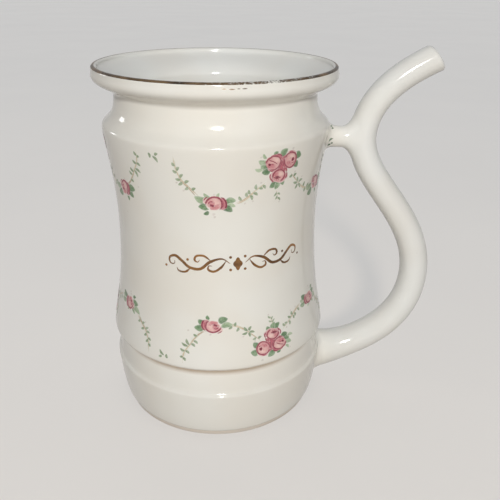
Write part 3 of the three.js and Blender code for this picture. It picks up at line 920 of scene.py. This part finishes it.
def leaf(base, tip, width, dark, light, bow=0.12):
    """A broad soft leaf, darker at its base and along its edges; a bow bends it to one side."""
    base, tip = np.array(base, float), np.array(tip, float)
    long_way = tip - base
    square = np.array([-long_way[1], long_way[0]])
    square /= np.linalg.norm(square)
    steps, across = 11, 7
    t = np.linspace(0, 1, steps)
    half = width / 2 * np.maximum(np.sin(math.pi * t**0.85), 0.02) ** LEAF_ROUND
    points, shades, covers = [], [], []
    for i in range(steps):
        spine = base + long_way * t[i] + square * bow * np.linalg.norm(long_way) * math.sin(math.pi * t[i])
        for w in np.linspace(-1, 1, across):
            points.append(spine + square * half[i] * w)
            edge = abs(w) ** 2
            shades.append(dark + (light - dark) * (t[i] * 0.8 + 0.2) * (1 - 0.5 * edge) - 0.1 * (w > 0.1))
            covers.append((0.45 if abs(w) > 0.95 else 0.95) * min(1, 0.55 + 4 * t[i] * (1 - t[i])))
    faces = []
    for i in range(steps - 1):
        for j in range(across - 1):
            a = i * across + j
            faces.append((a + 1, a + across + 1, a + across, a))
    return np.array(points), faces, np.clip(np.array(shades), 0, 1), np.array(covers)


def moved(shapes, middle, scale=(1.0, 1.0), turn=0.0, lean=0.0):
    """Shapes stretched, leant over, turned and then set down round a point."""
    cosine, sine = math.cos(turn), math.sin(turn)
    spin = np.array([[scale[0], -lean], [0, scale[1]]]) @ np.array([[cosine, sine], [-sine, cosine]])
    return [(points @ spin + np.array(middle), *rest) for points, *rest in shapes]


def mirrored(shape, side):
    """A shape as it is (side 1) or mirrored left to right (side -1)."""
    points, faces, *rest = shape
    return points * np.array([side, 1.0]), faces if side > 0 else [face[::-1] for face in faces], *rest


def open_rose():
    """A rose seen from the side: pale below, its dark heart to the left, petals folded to the right."""
    return [
        blob((1.75, 0.1), (1.25, 1.95), 0.0, (0.38, 0.54), (0.95, 0.6)),
        blob((-2.95, 1.0), (0.75, 1.05), 0.0, (0.1, 0.2), (0.7, 0.1)),
        blob((-0.55, 0.15), (2.35, 2.15), 0.0, (0.06, 0.3), (1.0, 0.8), fades_to=-105),
        blob((-1.35, 0.2), (1.1, 1.4), 0.0, (0.42, 0.2), (1.0, 1.0)),
        blob((-0.3, -1.05), (1.5, 0.8), 0.2, (0.4, 0.2), (1.0, 1.0)),
        fold([(1.2, 1.8), (1.85, 0.7), (2.05, -0.4), (1.8, -1.5)], 0.55, 0.72, 0.3),
        fold([(-2.95, -0.5), (-2.75, 0.6), (-2.0, 1.65), (-0.7, 2.25), (0.8, 2.0), (1.55, 1.15), (1.8, 0.0),
              (1.6, -1.25), (0.85, -1.85)], 0.42, 0.88, 0.12),
        fold([(1.25, 2.3), (2.2, 1.7), (2.8, 0.85), (3.0, -0.2), (2.8, -1.25), (2.2, -1.8)], 0.40, 0.98, 0.2),
        fold([(-3.5, 1.0), (-2.9, 1.9), (-2.0, 2.3)], 0.26, 0.92, 0.3),
        fold([(-2.1, -0.1), (-1.9, 0.6), (-1.2, 0.85), (-0.8, 0.45)], 0.24, 0.8, 0.2),
        fold([(-2.0, -0.2), (-1.15, -0.42), (-0.2, -0.65)], 0.55, 0.9, 0.25),
        fold([(0.1, 0.0), (0.7, -0.25), (1.1, 0.1)], 0.16, 0.5, 0.4)]


def full_rose():
    """A round rose with a folded front petal and a dark heart low on the left."""
    return [
        blob((0.9, 1.0), (2.2, 2.2), 0.0, (0.45, 0.55), (1.0, 0.85)),
        blob((-0.3, -2.0), (1.5, 0.9), 0.0, (0.55, 0.6), (0.9, 0.3)),
        blob((0.0, 0.0), (2.4, 2.4), 0.0, (0.12, 0.36), (1.0, 0.9)),
        blob((0.75, 1.2), (1.35, 0.95), -0.3, (0.0, 0.2), (1.0, 1.0)),
        blob((-0.3, -1.1), (1.5, 1.0), 0.0, (0.4, 0.26), (1.0, 1.0)),
        fold([(-2.35, -0.9), (-2.35, 0.0), (-1.8, 1.0), (-0.4, 2.3), (1.3, 2.3), (2.3, 1.3), (2.1, -0.3),
              (1.3, -1.7), (0.0, -2.4), (-1.3, -2.0)], 0.34, 0.86, 0.1),
        fold([(-1.9, 0.95), (-0.4, 0.6), (0.6, 0.15), (1.6, -0.5)], 0.24, 0.85, 0.25),
        fold([(0.5, 3.1), (1.8, 3.1), (2.9, 2.2)], 0.36, 0.95, 0.3),
        fold([(2.5, 1.7), (2.75, 0.4), (2.2, -1.0), (1.2, -2.2)], 0.34, 0.8, 0.3),
        fold([(-1.3, -2.3), (-0.3, -2.9), (0.7, -2.5)], 0.34, 0.78, 0.3),
        blob((-1.2, -0.65), (0.52, 0.48), 0.3, (1.0, 0.6), (1.0, 1.0), 0.1, 3, 18, 3),
        fold([(-0.8, -0.2), (-0.2, -0.5), (0.2, -0.3)], 0.26, 0.6, 0.3),
        fold([(-1.9, -1.1), (-1.3, -1.5), (-0.6, -1.4)], 0.2, 0.55, 0.3)]


def tall_rose():
    """A taller rose, closed all round, with its heart on the right."""
    return [
        blob((0.3, 2.4), (1.8, 1.0), 0.0, (0.3, 0.35), (0.7, 0.0)),
        blob((-1.6, -1.2), (1.2, 1.5), 0.0, (0.5, 0.55), (1.0, 0.9)),
        blob((0.05, 0.0), (2.15, 2.6), 0.0, (0.14, 0.36), (1.0, 0.9)),
        blob((0.5, 1.3), (1.2, 0.9), 0.0, (0.0, 0.2), (1.0, 1.0)),
        blob((-0.5, -1.2), (1.3, 1.1), 0.0, (0.4, 0.26), (1.0, 1.0)),
        fold([(-2.0, 0.4), (-1.3, 1.9), (0.1, 2.6), (1.6, 2.2), (2.15, 0.9), (2.0, -0.6), (1.0, -2.2),
              (-0.4, -2.5), (-1.7, -1.6), (-2.1, -0.3), (-2.0, 0.5)], 0.36, 0.86, 0.05),
        fold([(-1.0, 2.4), (-0.2, 3.0), (0.9, 2.9)], 0.22, 0.6, 0.3),
        blob((0.9, 0.3), (0.5, 0.72), -0.3, (1.0, 0.6), (1.0, 1.0), 0.1, 3, 18, 3),
        fold([(0.4, -0.7), (1.1, -0.9), (1.6, -0.3)], 0.24, 0.75, 0.3),
        fold([(-0.1, 1.0), (0.1, 0.7), (0.2, 0.9)], 0.22, 0.7, 0.2),
        fold([(-1.2, -0.1), (-0.9, -1.0), (-0.2, -1.8)], 0.14, 0.5, 0.4),
        fold([(-0.6, 0.1), (-0.4, -0.7), (0.2, -1.5)], 0.14, 0.5, 0.4)]


def low_rose():
    """A rose that nods, with a wide dark heart in its mouth and petals folded back on both sides."""
    return [
        blob((0.2, -0.1), (2.9, 2.1), 0.0, (0.36, 0.42), (0.9, 0.3)),
        blob((0.1, 0.1), (2.0, 2.1), 0.0, (0.14, 0.36), (1.0, 0.9)),
        blob((0.8, 0.7), (1.0, 0.9), 0.0, (0.0, 0.2), (1.0, 1.0)),
        blob((-0.9, 0.5), (0.8, 1.1), -0.3, (0.4, 0.26), (1.0, 1.0)),
        fold([(-1.9, -1.2), (-1.7, 0.6), (-0.6, 1.8), (0.9, 2.0), (1.95, 1.1), (2.0, 0.0), (1.3, -1.2),
              (0.3, -1.9)], 0.36, 0.86, 0.12),
        fold([(2.5, 1.7), (2.85, 0.3), (2.2, -1.0)], 0.30, 0.9, 0.3),
        fold([(-2.5, 0.9), (-2.75, -0.4), (-2.2, -1.8)], 0.26, 0.75, 0.3),
        fold([(-2.1, -0.6), (-2.0, -1.6), (-1.2, -2.1)], 0.3, 0.85, 0.3),
        blob((-0.4, -0.5), (1.1, 0.55), 0.1, (0.95, 0.55), (1.0, 1.0), 0.1, 4, 22, 3),
        fold([(-1.3, -0.4), (-0.4, -0.1), (0.5, -0.3)], 0.28, 0.98, 0.3),
        fold([(-1.2, -0.9), (-1.0, -1.4)], 0.2, 0.7, 0.3),
        fold([(-0.5, -1.0), (-0.5, -1.6)], 0.2, 0.7, 0.3),
        fold([(0.2, -0.9), (0.1, -1.5)], 0.2, 0.65, 0.3)]


def sprig(spots, width=LEAFLET_WIDTH, dark=0.68, light=0.36):
    """Small leaflets, each from its base towards its tip."""
    tips = [np.array(base) + (np.array(tip) - np.array(base)) * LEAFLET_LENGTH for base, tip in spots]
    return [leaf(base, tip, width, dark, light, 0.1) for (base, _), tip in zip(spots, tips)]


def rose_cluster():
    """Three roses leaning together, with petals between them and leaves all round."""
    leaves = [leaf(*entry) for entry in (
        ((-3.0, 12.0), (-6.3, 13.0), 2.0, 0.4, 0.1), ((-3.2, 10.6), (-5.6, 11.4), 2.0, 0.66, 0.34),
        ((-2.4, 10.2), (-5.1, 9.2), 2.3, 0.8, 0.52),
        ((0.7, 13.2), (2.6, 15.6), 2.3, 0.64, 0.4), ((-1.8, 14.0), (-0.4, 15.1), 1.2, 0.6, 0.45),
        ((5.2, 12.6), (8.2, 12.5), 2.6, 0.64, 0.5), ((5.0, 10.9), (7.2, 9.1), 2.2, 0.8, 0.55),
        ((-0.4, 6.2), (-2.2, 4.1), 2.1, 0.7, 0.45), ((0.3, 6.0), (-0.3, 3.3), 1.9, 0.55, 0.3),
        ((1.2, 6.0), (2.5, 4.3), 1.7, 0.7, 0.4),
        ((-4.0, 13.4), (-5.0, 15.0), 1.0, 0.25, 0.05), ((-4.8, 10.2), (-7.2, 10.6), 1.2, 0.2, 0.02))]
    roses = [blob((0.9, 9.8), (2.5, 2.1), 0.3, (0.6, 0.58), (1.0, 0.6)),
             blob((1.5, 11.3), (1.3, 2.5), -0.25, (0.5, 0.62), (1.0, 0.7))]
    roses += moved(tall_rose(), (4.0, 11.8), (1.0, 0.92), lean=CLUSTER_LEAN)
    roses += moved(full_rose(), (-1.7, 11.8), (1.0, 0.88), lean=CLUSTER_LEAN)
    roses += moved(low_rose(), (0.4, 7.5), (1.04, 0.96), lean=CLUSTER_LEAN)
    roses.append(fold([(1.5, 13.0), (1.75, 11.9), (1.5, 10.7), (1.9, 9.8)], 0.3, 0.88, 0.3))
    roses.append(fold([(2.4, 10.0), (3.0, 9.1), (3.1, 8.0)], 0.3, 0.84, 0.3))
    return leaves, roses


def garland(side_scale, side_lean, cluster_drop):
    """One swag: a cluster of three roses in the middle, a rose on either side, and leafy tails.

    The side roses may be stretched and leant over, and the cluster lowered.
    """
    washes, stems, sprigs, leaves, roses, buds = [], [], [], [], [], []

    left_tail = [(-22.4, 2.4), (-24.0, 4.0), (-25.8, 5.8), (-27.4, 7.5), (-28.4, 9.4), (-28.9, 11.4),
                 (-29.3, 15.0)]
    left_twin = [(-23.4, 2.4), (-25.0, 4.5), (-26.6, 6.2), (-27.9, 7.4), (-28.3, 8.9)]
    left_swag = [(-12.6, 0.5), (-10.2, 1.3), (-8.0, 2.8), (-5.9, 4.4), (-4.4, 5.4), (-3.2, 6.6)]
    left_swag_twin = [(-12.4, 0.1), (-10.4, 0.8), (-8.6, 1.9), (-7.2, 3.2), (-6.4, 4.0)]
    right_swag = [(4.6, 8.0), (6.7, 5.7), (9.2, 3.2), (12.0, 1.4), (15.6, 0.3)]
    right_swag_twin = [(8.2, 4.4), (10.6, 1.9), (13.4, 0.4), (15.8, 0.0)]
    right_tail = [(20.6, 2.3), (22.8, 3.3), (24.5, 5.0), (26.3, 7.8), (27.3, 9.4), (28.3, 11.6), (28.6, 15.2)]
    right_twin = [(21.6, 2.1), (23.7, 3.8), (25.3, 5.9), (26.5, 7.6)]
    for line, width, shade in (
            (left_tail, 0.42, 0.6), (left_twin, 0.36, 0.85), (left_swag, 0.42, 0.6),
            (left_swag_twin, 0.36, 0.5), (right_swag, 0.4, 0.65), (right_swag_twin, 0.34, 0.5),
            (right_tail, 0.42, 0.65), (right_twin, 0.36, 0.85)):
        stems.append(stroke(curve_through(line), width, shade, 0.25, 0.4))
        washes.append(stroke(curve_through(line), STEM_WASH, 0.1, 0.3, cover=(0.4, 0.0)))
    stems.append(stroke(curve_through([(0.2, 3.2), (0.6, 1.6), (1.0, -0.4)]), 0.24, 0.45, 0.3))

    for base, tip, width, dark, light in (
            ((-19.8, 1.4), (-24.1, 2.6), 2.4, 0.4, 0.12), ((-19.4, 0.6), (-23.0, -0.6), 2.7, 0.7, 0.46),
            ((-15.4, 0.9), (-12.2, 1.3), 2.1, 0.56, 0.24),
            ((-15.0, -0.3), (-12.3, -0.5), 1.6, 0.15, 0.02),
            ((-16.2, -0.7), (-13.2, -2.1), 2.3, 0.82, 0.56),
            ((-20.0, -2.0), (-21.6, -2.9), 1.3, 0.75, 0.6), ((-17.4, 2.4), (-17.0, 3.9), 0.9, 0.3, 0.1),
            ((-19.6, 2.3), (-21.4, 3.8), 1.2, 0.4, 0.2), ((21.9, 0.9), (25.2, 1.5), 2.6, 0.7, 0.42),
            ((21.9, -0.3), (24.0, -1.4), 2.0, 0.75, 0.5), ((17.6, -0.4), (14.9, -2.1), 2.6, 0.76, 0.5),
            ((17.0, 0.9), (13.3, 0.6), 2.2, 0.46, 0.15), ((20.6, -1.6), (21.2, -3.2), 1.2, 0.65, 0.4)):
        leaves.append(leaf(base, tip, width, dark, light))

    sprigs += sprig([
        ((-27.6, 7.6), (-29.1, 7.7)), ((-27.8, 8.2), (-26.9, 9.3)), ((-27.2, 7.0), (-28.4, 5.9)),
        ((-26.6, 6.6), (-25.3, 7.4)), ((-28.5, 9.6), (-29.7, 10.3)), ((-28.6, 10.2), (-27.8, 11.4)),
        ((-28.9, 11.6), (-29.7, 12.6)), ((-25.6, 5.5), (-26.6, 4.6)), ((-24.6, 4.5), (-23.6, 5.3))])
    sprigs += sprig([
        ((-8.1, 2.7), (-7.5, 1.1)), ((-7.3, 3.3), (-5.9, 2.4)), ((-6.3, 4.1), (-6.5, 5.8)),
        ((-5.6, 4.6), (-4.4, 4.2)), ((-4.5, 5.4), (-3.6, 4.2)), ((-9.0, 2.2), (-9.3, 3.6)),
        ((-10.6, 1.2), (-11.4, 2.5)), ((-8.2, 2.9), (-8.6, 4.3))])
    sprigs += sprig([
        ((8.4, 3.8), (6.6, 4.2)), ((8.5, 4.0), (8.1, 5.6)), ((8.8, 3.8), (10.5, 4.3)),
        ((8.8, 3.4), (9.8, 1.8)), ((8.4, 3.4), (7.6, 1.9)), ((5.6, 6.9), (4.5, 6.3)),
        ((6.2, 6.3), (7.3, 6.9)), ((11.6, 1.6), (12.2, 3.0)), ((12.6, 1.2), (12.4, -0.3)),
        ((13.6, 0.8), (14.6, 1.9))], dark=0.75, light=0.45)
    sprigs += sprig([
        ((27.9, 10.6), (29.3, 9.9)), ((27.8, 10.3), (26.6, 11.2)), ((26.9, 8.7), (28.9, 7.7)),
        ((26.6, 8.2), (27.5, 6.1)), ((26.1, 7.4), (24.9, 8.5)), ((25.3, 6.3), (24.1, 7.3)),
        ((28.5, 12.6), (29.4, 12.9)), ((28.5, 12.9), (27.7, 14.1)),
        ((24.1, 4.6), (25.3, 4.0))], dark=0.75, light=0.45)
    sprigs += sprig([
        ((0.4, 2.4), (-0.5, 1.2)), ((0.6, 2.0), (1.6, 1.4)), ((0.7, 1.2), (0.1, 0.1)),
        ((0.9, 0.6), (1.8, -0.5))], 0.7, 0.6, 0.4)

    for spot, size, shade in (
            ((-18.6, -2.9), 0.6, 0.25), ((-18.4, -3.8), 0.5, 0.5), ((-18.4, 3.4), 0.5, 0.3),
            ((-28.9, 6.6), 0.45, 0.45), ((-27.0, 4.3), 0.45, 0.35), ((-9.6, 0.2), 0.45, 0.35),
            ((-5.0, 6.2), 0.45, 0.4), ((-7.2, 0.6), 0.4, 0.35), ((10.2, 5.2), 0.45, 0.45),
            ((20.2, 3.8), 0.55, 0.35), ((27.0, 2.8), 0.45, 0.4), ((4.6, 15.2), 0.6, 0.5),
            ((1.6, -0.9), 0.4, 0.45), ((6.6, 7.6), 0.5, 0.5), ((-5.6, 14.0), 0.4, 0.4)):
        buds.append(blob(spot, (size, size * 0.8), 0.5, (shade + 0.2, shade), (0.5, 0.0), 0.12, 3, 14, 3))

    roses += moved(open_rose(), (-18.0, 0.35), side_scale, lean=side_lean)
    roses += moved(open_rose(), (19.8, 0.6), side_scale, math.radians(-12), side_lean)
    for kind, shapes in zip((leaves, roses), rose_cluster()):
        kind += moved(shapes, (0.0, -cluster_drop))
    return {"washes": washes, "stems": stems, "buds": buds,
            "leaves": leaves, "sprigs": sprigs, "roses": roses}


def gap_sprig():
    """Three leaflets alone in the gap between swags."""
    spots = [((-0.5, 14.7), (-0.2, 13.2)), ((0.7, 13.9), (2.1, 12.2)), ((1.4, 14.1), (2.4, 14.8))]
    return {"sprigs": sprig(spots, dark=0.75, light=0.5)}


def laid_on_wall(shapes, azimuth, height, way, first_lift, tall=1.0):
    """Puts flat shapes on the wall, upright (way 1) or upside down (way -1), each just over the last."""
    laid = []
    for i, (points, *rest) in enumerate(shapes):
        angles = azimuth + way * points[:, 0] / PRINT_RADIUS
        heights = height + way * tall * points[:, 1]
        laid.append((on_wall(angles, heights, first_lift + FILM_STEP * i), *rest))
    return laid


def laid_on_bridge(shapes, angle, first_lift):
    """Puts flat shapes on the bridge's root: u runs out from the wall, v round the bridge from an angle."""
    laid = []
    for i, (points, *rest) in enumerate(shapes):
        near, _ = bridge_curves(angle + points[:, 1] / BRIDGE_RADIUS)
        placed = along_curve(near, np.clip(points[:, 0] / BRIDGE_ROOT_LENGTH, 0, 1))
        out = placed * np.array([0.0, 1.0, 1.0]) - np.array([0.0, 0.0, bridge_height])
        out /= np.linalg.norm(out, axis=1)[:, None]
        laid.append((placed + out * (first_lift + FILM_STEP * i), *rest))
    return laid


def print_piece(name, shapes, material):
    """One closed film per printed shape, all in one piece, with the shades of the print on its points."""
    points, faces, shades, covers = [], [], [], []
    count = 0
    for placed, its_faces, its_shades, its_covers in shapes:
        points.append(placed)
        faces += [tuple(count + i for i in face) for face in its_faces]
        shades.append(its_shades)
        covers.append(its_covers)
        count += len(placed)
    piece = new_piece(name, np.concatenate(points), faces, material)
    mark(piece, "shade", np.concatenate(shades))
    mark(piece, "cover", np.concatenate(covers))
    film = piece.modifiers.new("film", "SOLIDIFY")
    film.thickness = FILM_THICKNESS * MM
    film.offset = -1.0
    settle(piece)
    piece.data.set_sharp_from_angle(angle=FILM_SHARP)


def make_garlands():
    """Two rows of swags; the lower row is the upper one turned upside down."""
    gap = gap_sprig()
    for row, height, way, tall in (
            ("upper", UPPER_HEIGHT, 1, UPPER_TALL), ("lower", LOWER_HEIGHT, -1, LOWER_TALL)):
        swags = [
            (math.radians(azimuth), garland(scale, lean, CLUSTER_DROP[row]))
            for azimuth, scale, lean in SWAGS]
        for part, (ink, lift) in INKS.items():
            shapes = []
            for azimuth, swag in swags:
                shapes += laid_on_wall(swag[part], azimuth, height, way, lift, tall)
            if part in gap:
                for azimuth in GAP_AZIMUTHS[row]:
                    shapes += laid_on_wall(gap[part], math.radians(azimuth), height, way, lift, tall)
            print_piece(f"{row}_garland_{part}", shapes, ink)


def flourish():
    """A plain scroll ornament in gold: a lozenge in the middle and a scrolled stem to each side."""
    shapes = [blob((0, 0), (1.3, 1.9), 0.0, wobble=0.16, lobes=4, sides=32, rings=3)]
    for side in (1, -1):
        main = [(2.4, 0.2), (5.0, 1.9), (8.6, 0.9), (11.6, -1.5), (15.0, -1.3), (17.4, 0.6), (19.6, 2.1),
                (21.6, 1.2), (21.4, -0.6), (20.0, -0.6), (19.9, 0.5)]
        second = [(8.2, 1.1), (10.4, 2.8), (12.8, 2.7), (13.4, 1.3), (12.4, 0.7), (11.8, 1.5)]
        third = [(3.6, 1.3), (5.2, -0.9), (7.4, -2.3), (9.2, -1.7), (9.0, -0.4), (8.0, -0.5)]
        fourth = [(14.6, -1.3), (16.4, -2.9), (18.6, -2.8), (19.2, -1.7)]
        for line, width in ((main, 0.95), (second, 0.7), (third, 0.75), (fourth, 0.65)):
            shapes.append(mirrored(stroke(curve_through(line), width, 0.5, 0.3), side))
        for spot, size in (((2.3, 2.3), 0.45), ((2.3, -1.9), 0.45), ((15.6, 1.3), 0.42), ((22.9, -1.6), 0.4)):
            shapes.append(mirrored(blob(spot, (size, size), wobble=0.0, sides=16, rings=2), side))
    return shapes


def make_bridge_leaves():
    """Leaflets printed round the bridge's root, where the swag's tail runs out onto it."""
    facing = -math.pi / 2
    shapes = sprig([((1.6, 3.5), (2.5, 4.1)), ((2.3, 3.1), (3.1, 3.5)), ((1.7, -0.3), (3.1, 0.3)),
                    ((1.6, -1.1), (2.6, -1.5)), ((2.6, -0.9), (3.3, -1.2))], 0.6, 1.0, 0.8)
    print_piece("bridge_leaves", laid_on_bridge(shapes, facing, FILM_LIFT), leaf_ink)


def make_gold_traces():
    """Broken traces of gold under the lip at the front."""
    shapes = []
    for start, end, height, width in (
            (-86.9, -85.0, 118.5, 0.24), (-84.2, -81.6, 118.4, 0.28),
            (-80.9, -79.6, 118.5, 0.2), (-78.9, -76.8, 118.5, 0.26)):
        angles = (start, (start + end) / 2, end)
        line = [(math.radians(angle - TRACE_AZIMUTH) * PRINT_RADIUS, 0.0) for angle in angles]
        trace = stroke(line, width, 0.7, 0.4)
        shapes += laid_on_wall([trace], math.radians(TRACE_AZIMUTH), height, 1, FILM_LIFT)
    print_piece("gold_traces", shapes, trace_gold)


def make_flourish():
    shapes = laid_on_wall(flourish(), FLOURISH_AZIMUTH, FLOURISH_HEIGHT, 1, FILM_LIFT)
    print_piece("gold_flourish", shapes, flourish_gold)


make_garlands()
make_bridge_leaves()
make_gold_traces()
make_flourish()


# Table, light and camera, in metres

TABLE_RADIUS = 8.0
TABLE_SIDES = 96
TABLE_TONES = rgb(146, 136, 124), rgb(154, 144, 132)
BACKDROP_PALE = rgb(236, 237, 238)
TABLE_LIFT = 0.54
BACKDROP_LIGHT = 0.62
ROOM_LIGHT = 0.06
BACK_WALL_LIGHT = 1.5
LIT_POINT = (0.0, 0.0, 0.07)
LAMPS = (
    ("front_softbox", (0.02, -0.7, 0.4), 0.095, 4.65, (1.0, 0.995, 0.98)),
    ("over_softbox", (0.0, 0.02, 0.7), 0.4, 0.2, (0.95, 0.98, 1.0)),
    ("left_softbox", (-0.48, 0.24, 0.2), 0.09, 0.12, (1.0, 1.0, 1.0)))
CAMERA_PLACE = (3.436 * MM, -196.83 * MM, 146.83 * MM)
CAMERA_RIGHT = (0.99929814, -0.03603601, 0.01022924)
CAMERA_OVER = (0.0060576, 0.42493341, 0.90520434)
CAMERA_AHEAD = (0.0369667, 0.90450705, -0.42485346)
CAMERA_LENS = 43.2
CAMERA_SENSOR = 36.0


def seen_rays(sheet):
    """1 where the table or the room is seen straight, in a reflection or through glass."""
    path = sheet.add("ShaderNodeLightPath")
    seen = sheet.maths("MAXIMUM", path.outputs["Is Camera Ray"], path.outputs["Is Glossy Ray"])
    return sheet.maths("MAXIMUM", seen, path.outputs["Is Transmission Ray"])


def make_floor():
    """A pale table; seen straight or in a reflection it is lit evenly, and it keeps the cup's shadow."""
    material, sheet, shader = new_material("pale_table", Roughness=0.7)
    tone = sheet.between(sheet.noise(sheet.place(), 6.0, 3.0), 0.3, 0.7)
    sheet.join(sheet.mix(tone, *TABLE_TONES), shader.inputs["Base Color"])
    shader.inputs["Emission Color"].default_value = BACKDROP_PALE
    sheet.join(sheet.maths("MULTIPLY", seen_rays(sheet), TABLE_LIFT), shader.inputs["Emission Strength"])
    mesh = bpy.data.meshes.new("pale_table")
    ring = [(TABLE_RADIUS * math.cos(a), TABLE_RADIUS * math.sin(a), 0.0) for a in once_round(TABLE_SIDES)]
    mesh.from_pydata(ring, [], [tuple(range(TABLE_SIDES))])
    mesh.materials.append(material)
    floor = put("pale_table", mesh)


def lamp(name, place, size, power, colour):
    light = bpy.data.lights.new(name, "AREA")
    light.shape = "DISK"
    light.size = size
    light.energy = power
    light.color = colour
    holder = put(name, light)
    holder.location = place
    holder.rotation_euler = (Vector(LIT_POINT) - Vector(place)).to_track_quat("-Z", "Y").to_euler()


def make_light():
    """Three soft lamps in a dim room; a pale wall behind the cup lights its back and is not itself seen."""
    for entry in LAMPS:
        lamp(*entry)
    world = bpy.data.worlds.new("studio")
    world.use_nodes = True
    sheet = Sheet(world.node_tree)
    background = world.node_tree.nodes["Background"]
    background.inputs["Color"].default_value = BACKDROP_PALE
    _, backward, _ = sheet.split(sheet.add("ShaderNodeTexCoord").outputs["Generated"])
    room = sheet.between(backward, 0.4, 0.9, ROOM_LIGHT, BACK_WALL_LIGHT, smooth=True)
    sheet.join(sheet.between(seen_rays(sheet), 0.0, 1.0, room, BACKDROP_LIGHT), background.inputs["Strength"])
    bpy.context.scene.world = world


def make_camera():
    camera = bpy.data.cameras.new("photo_camera")
    camera.lens = CAMERA_LENS
    camera.sensor_width = CAMERA_SENSOR
    camera.clip_start = 0.01
    holder = put("photo_camera", camera)
    turn = Matrix((Vector(CAMERA_RIGHT), Vector(CAMERA_OVER), -Vector(CAMERA_AHEAD))).transposed()
    holder.matrix_world = Matrix.Translation(Vector(CAMERA_PLACE)) @ turn.to_4x4()
    bpy.context.scene.camera = holder


make_floor()
make_light()
make_camera()
bpy.context.scene.view_settings.view_transform = "Standard"
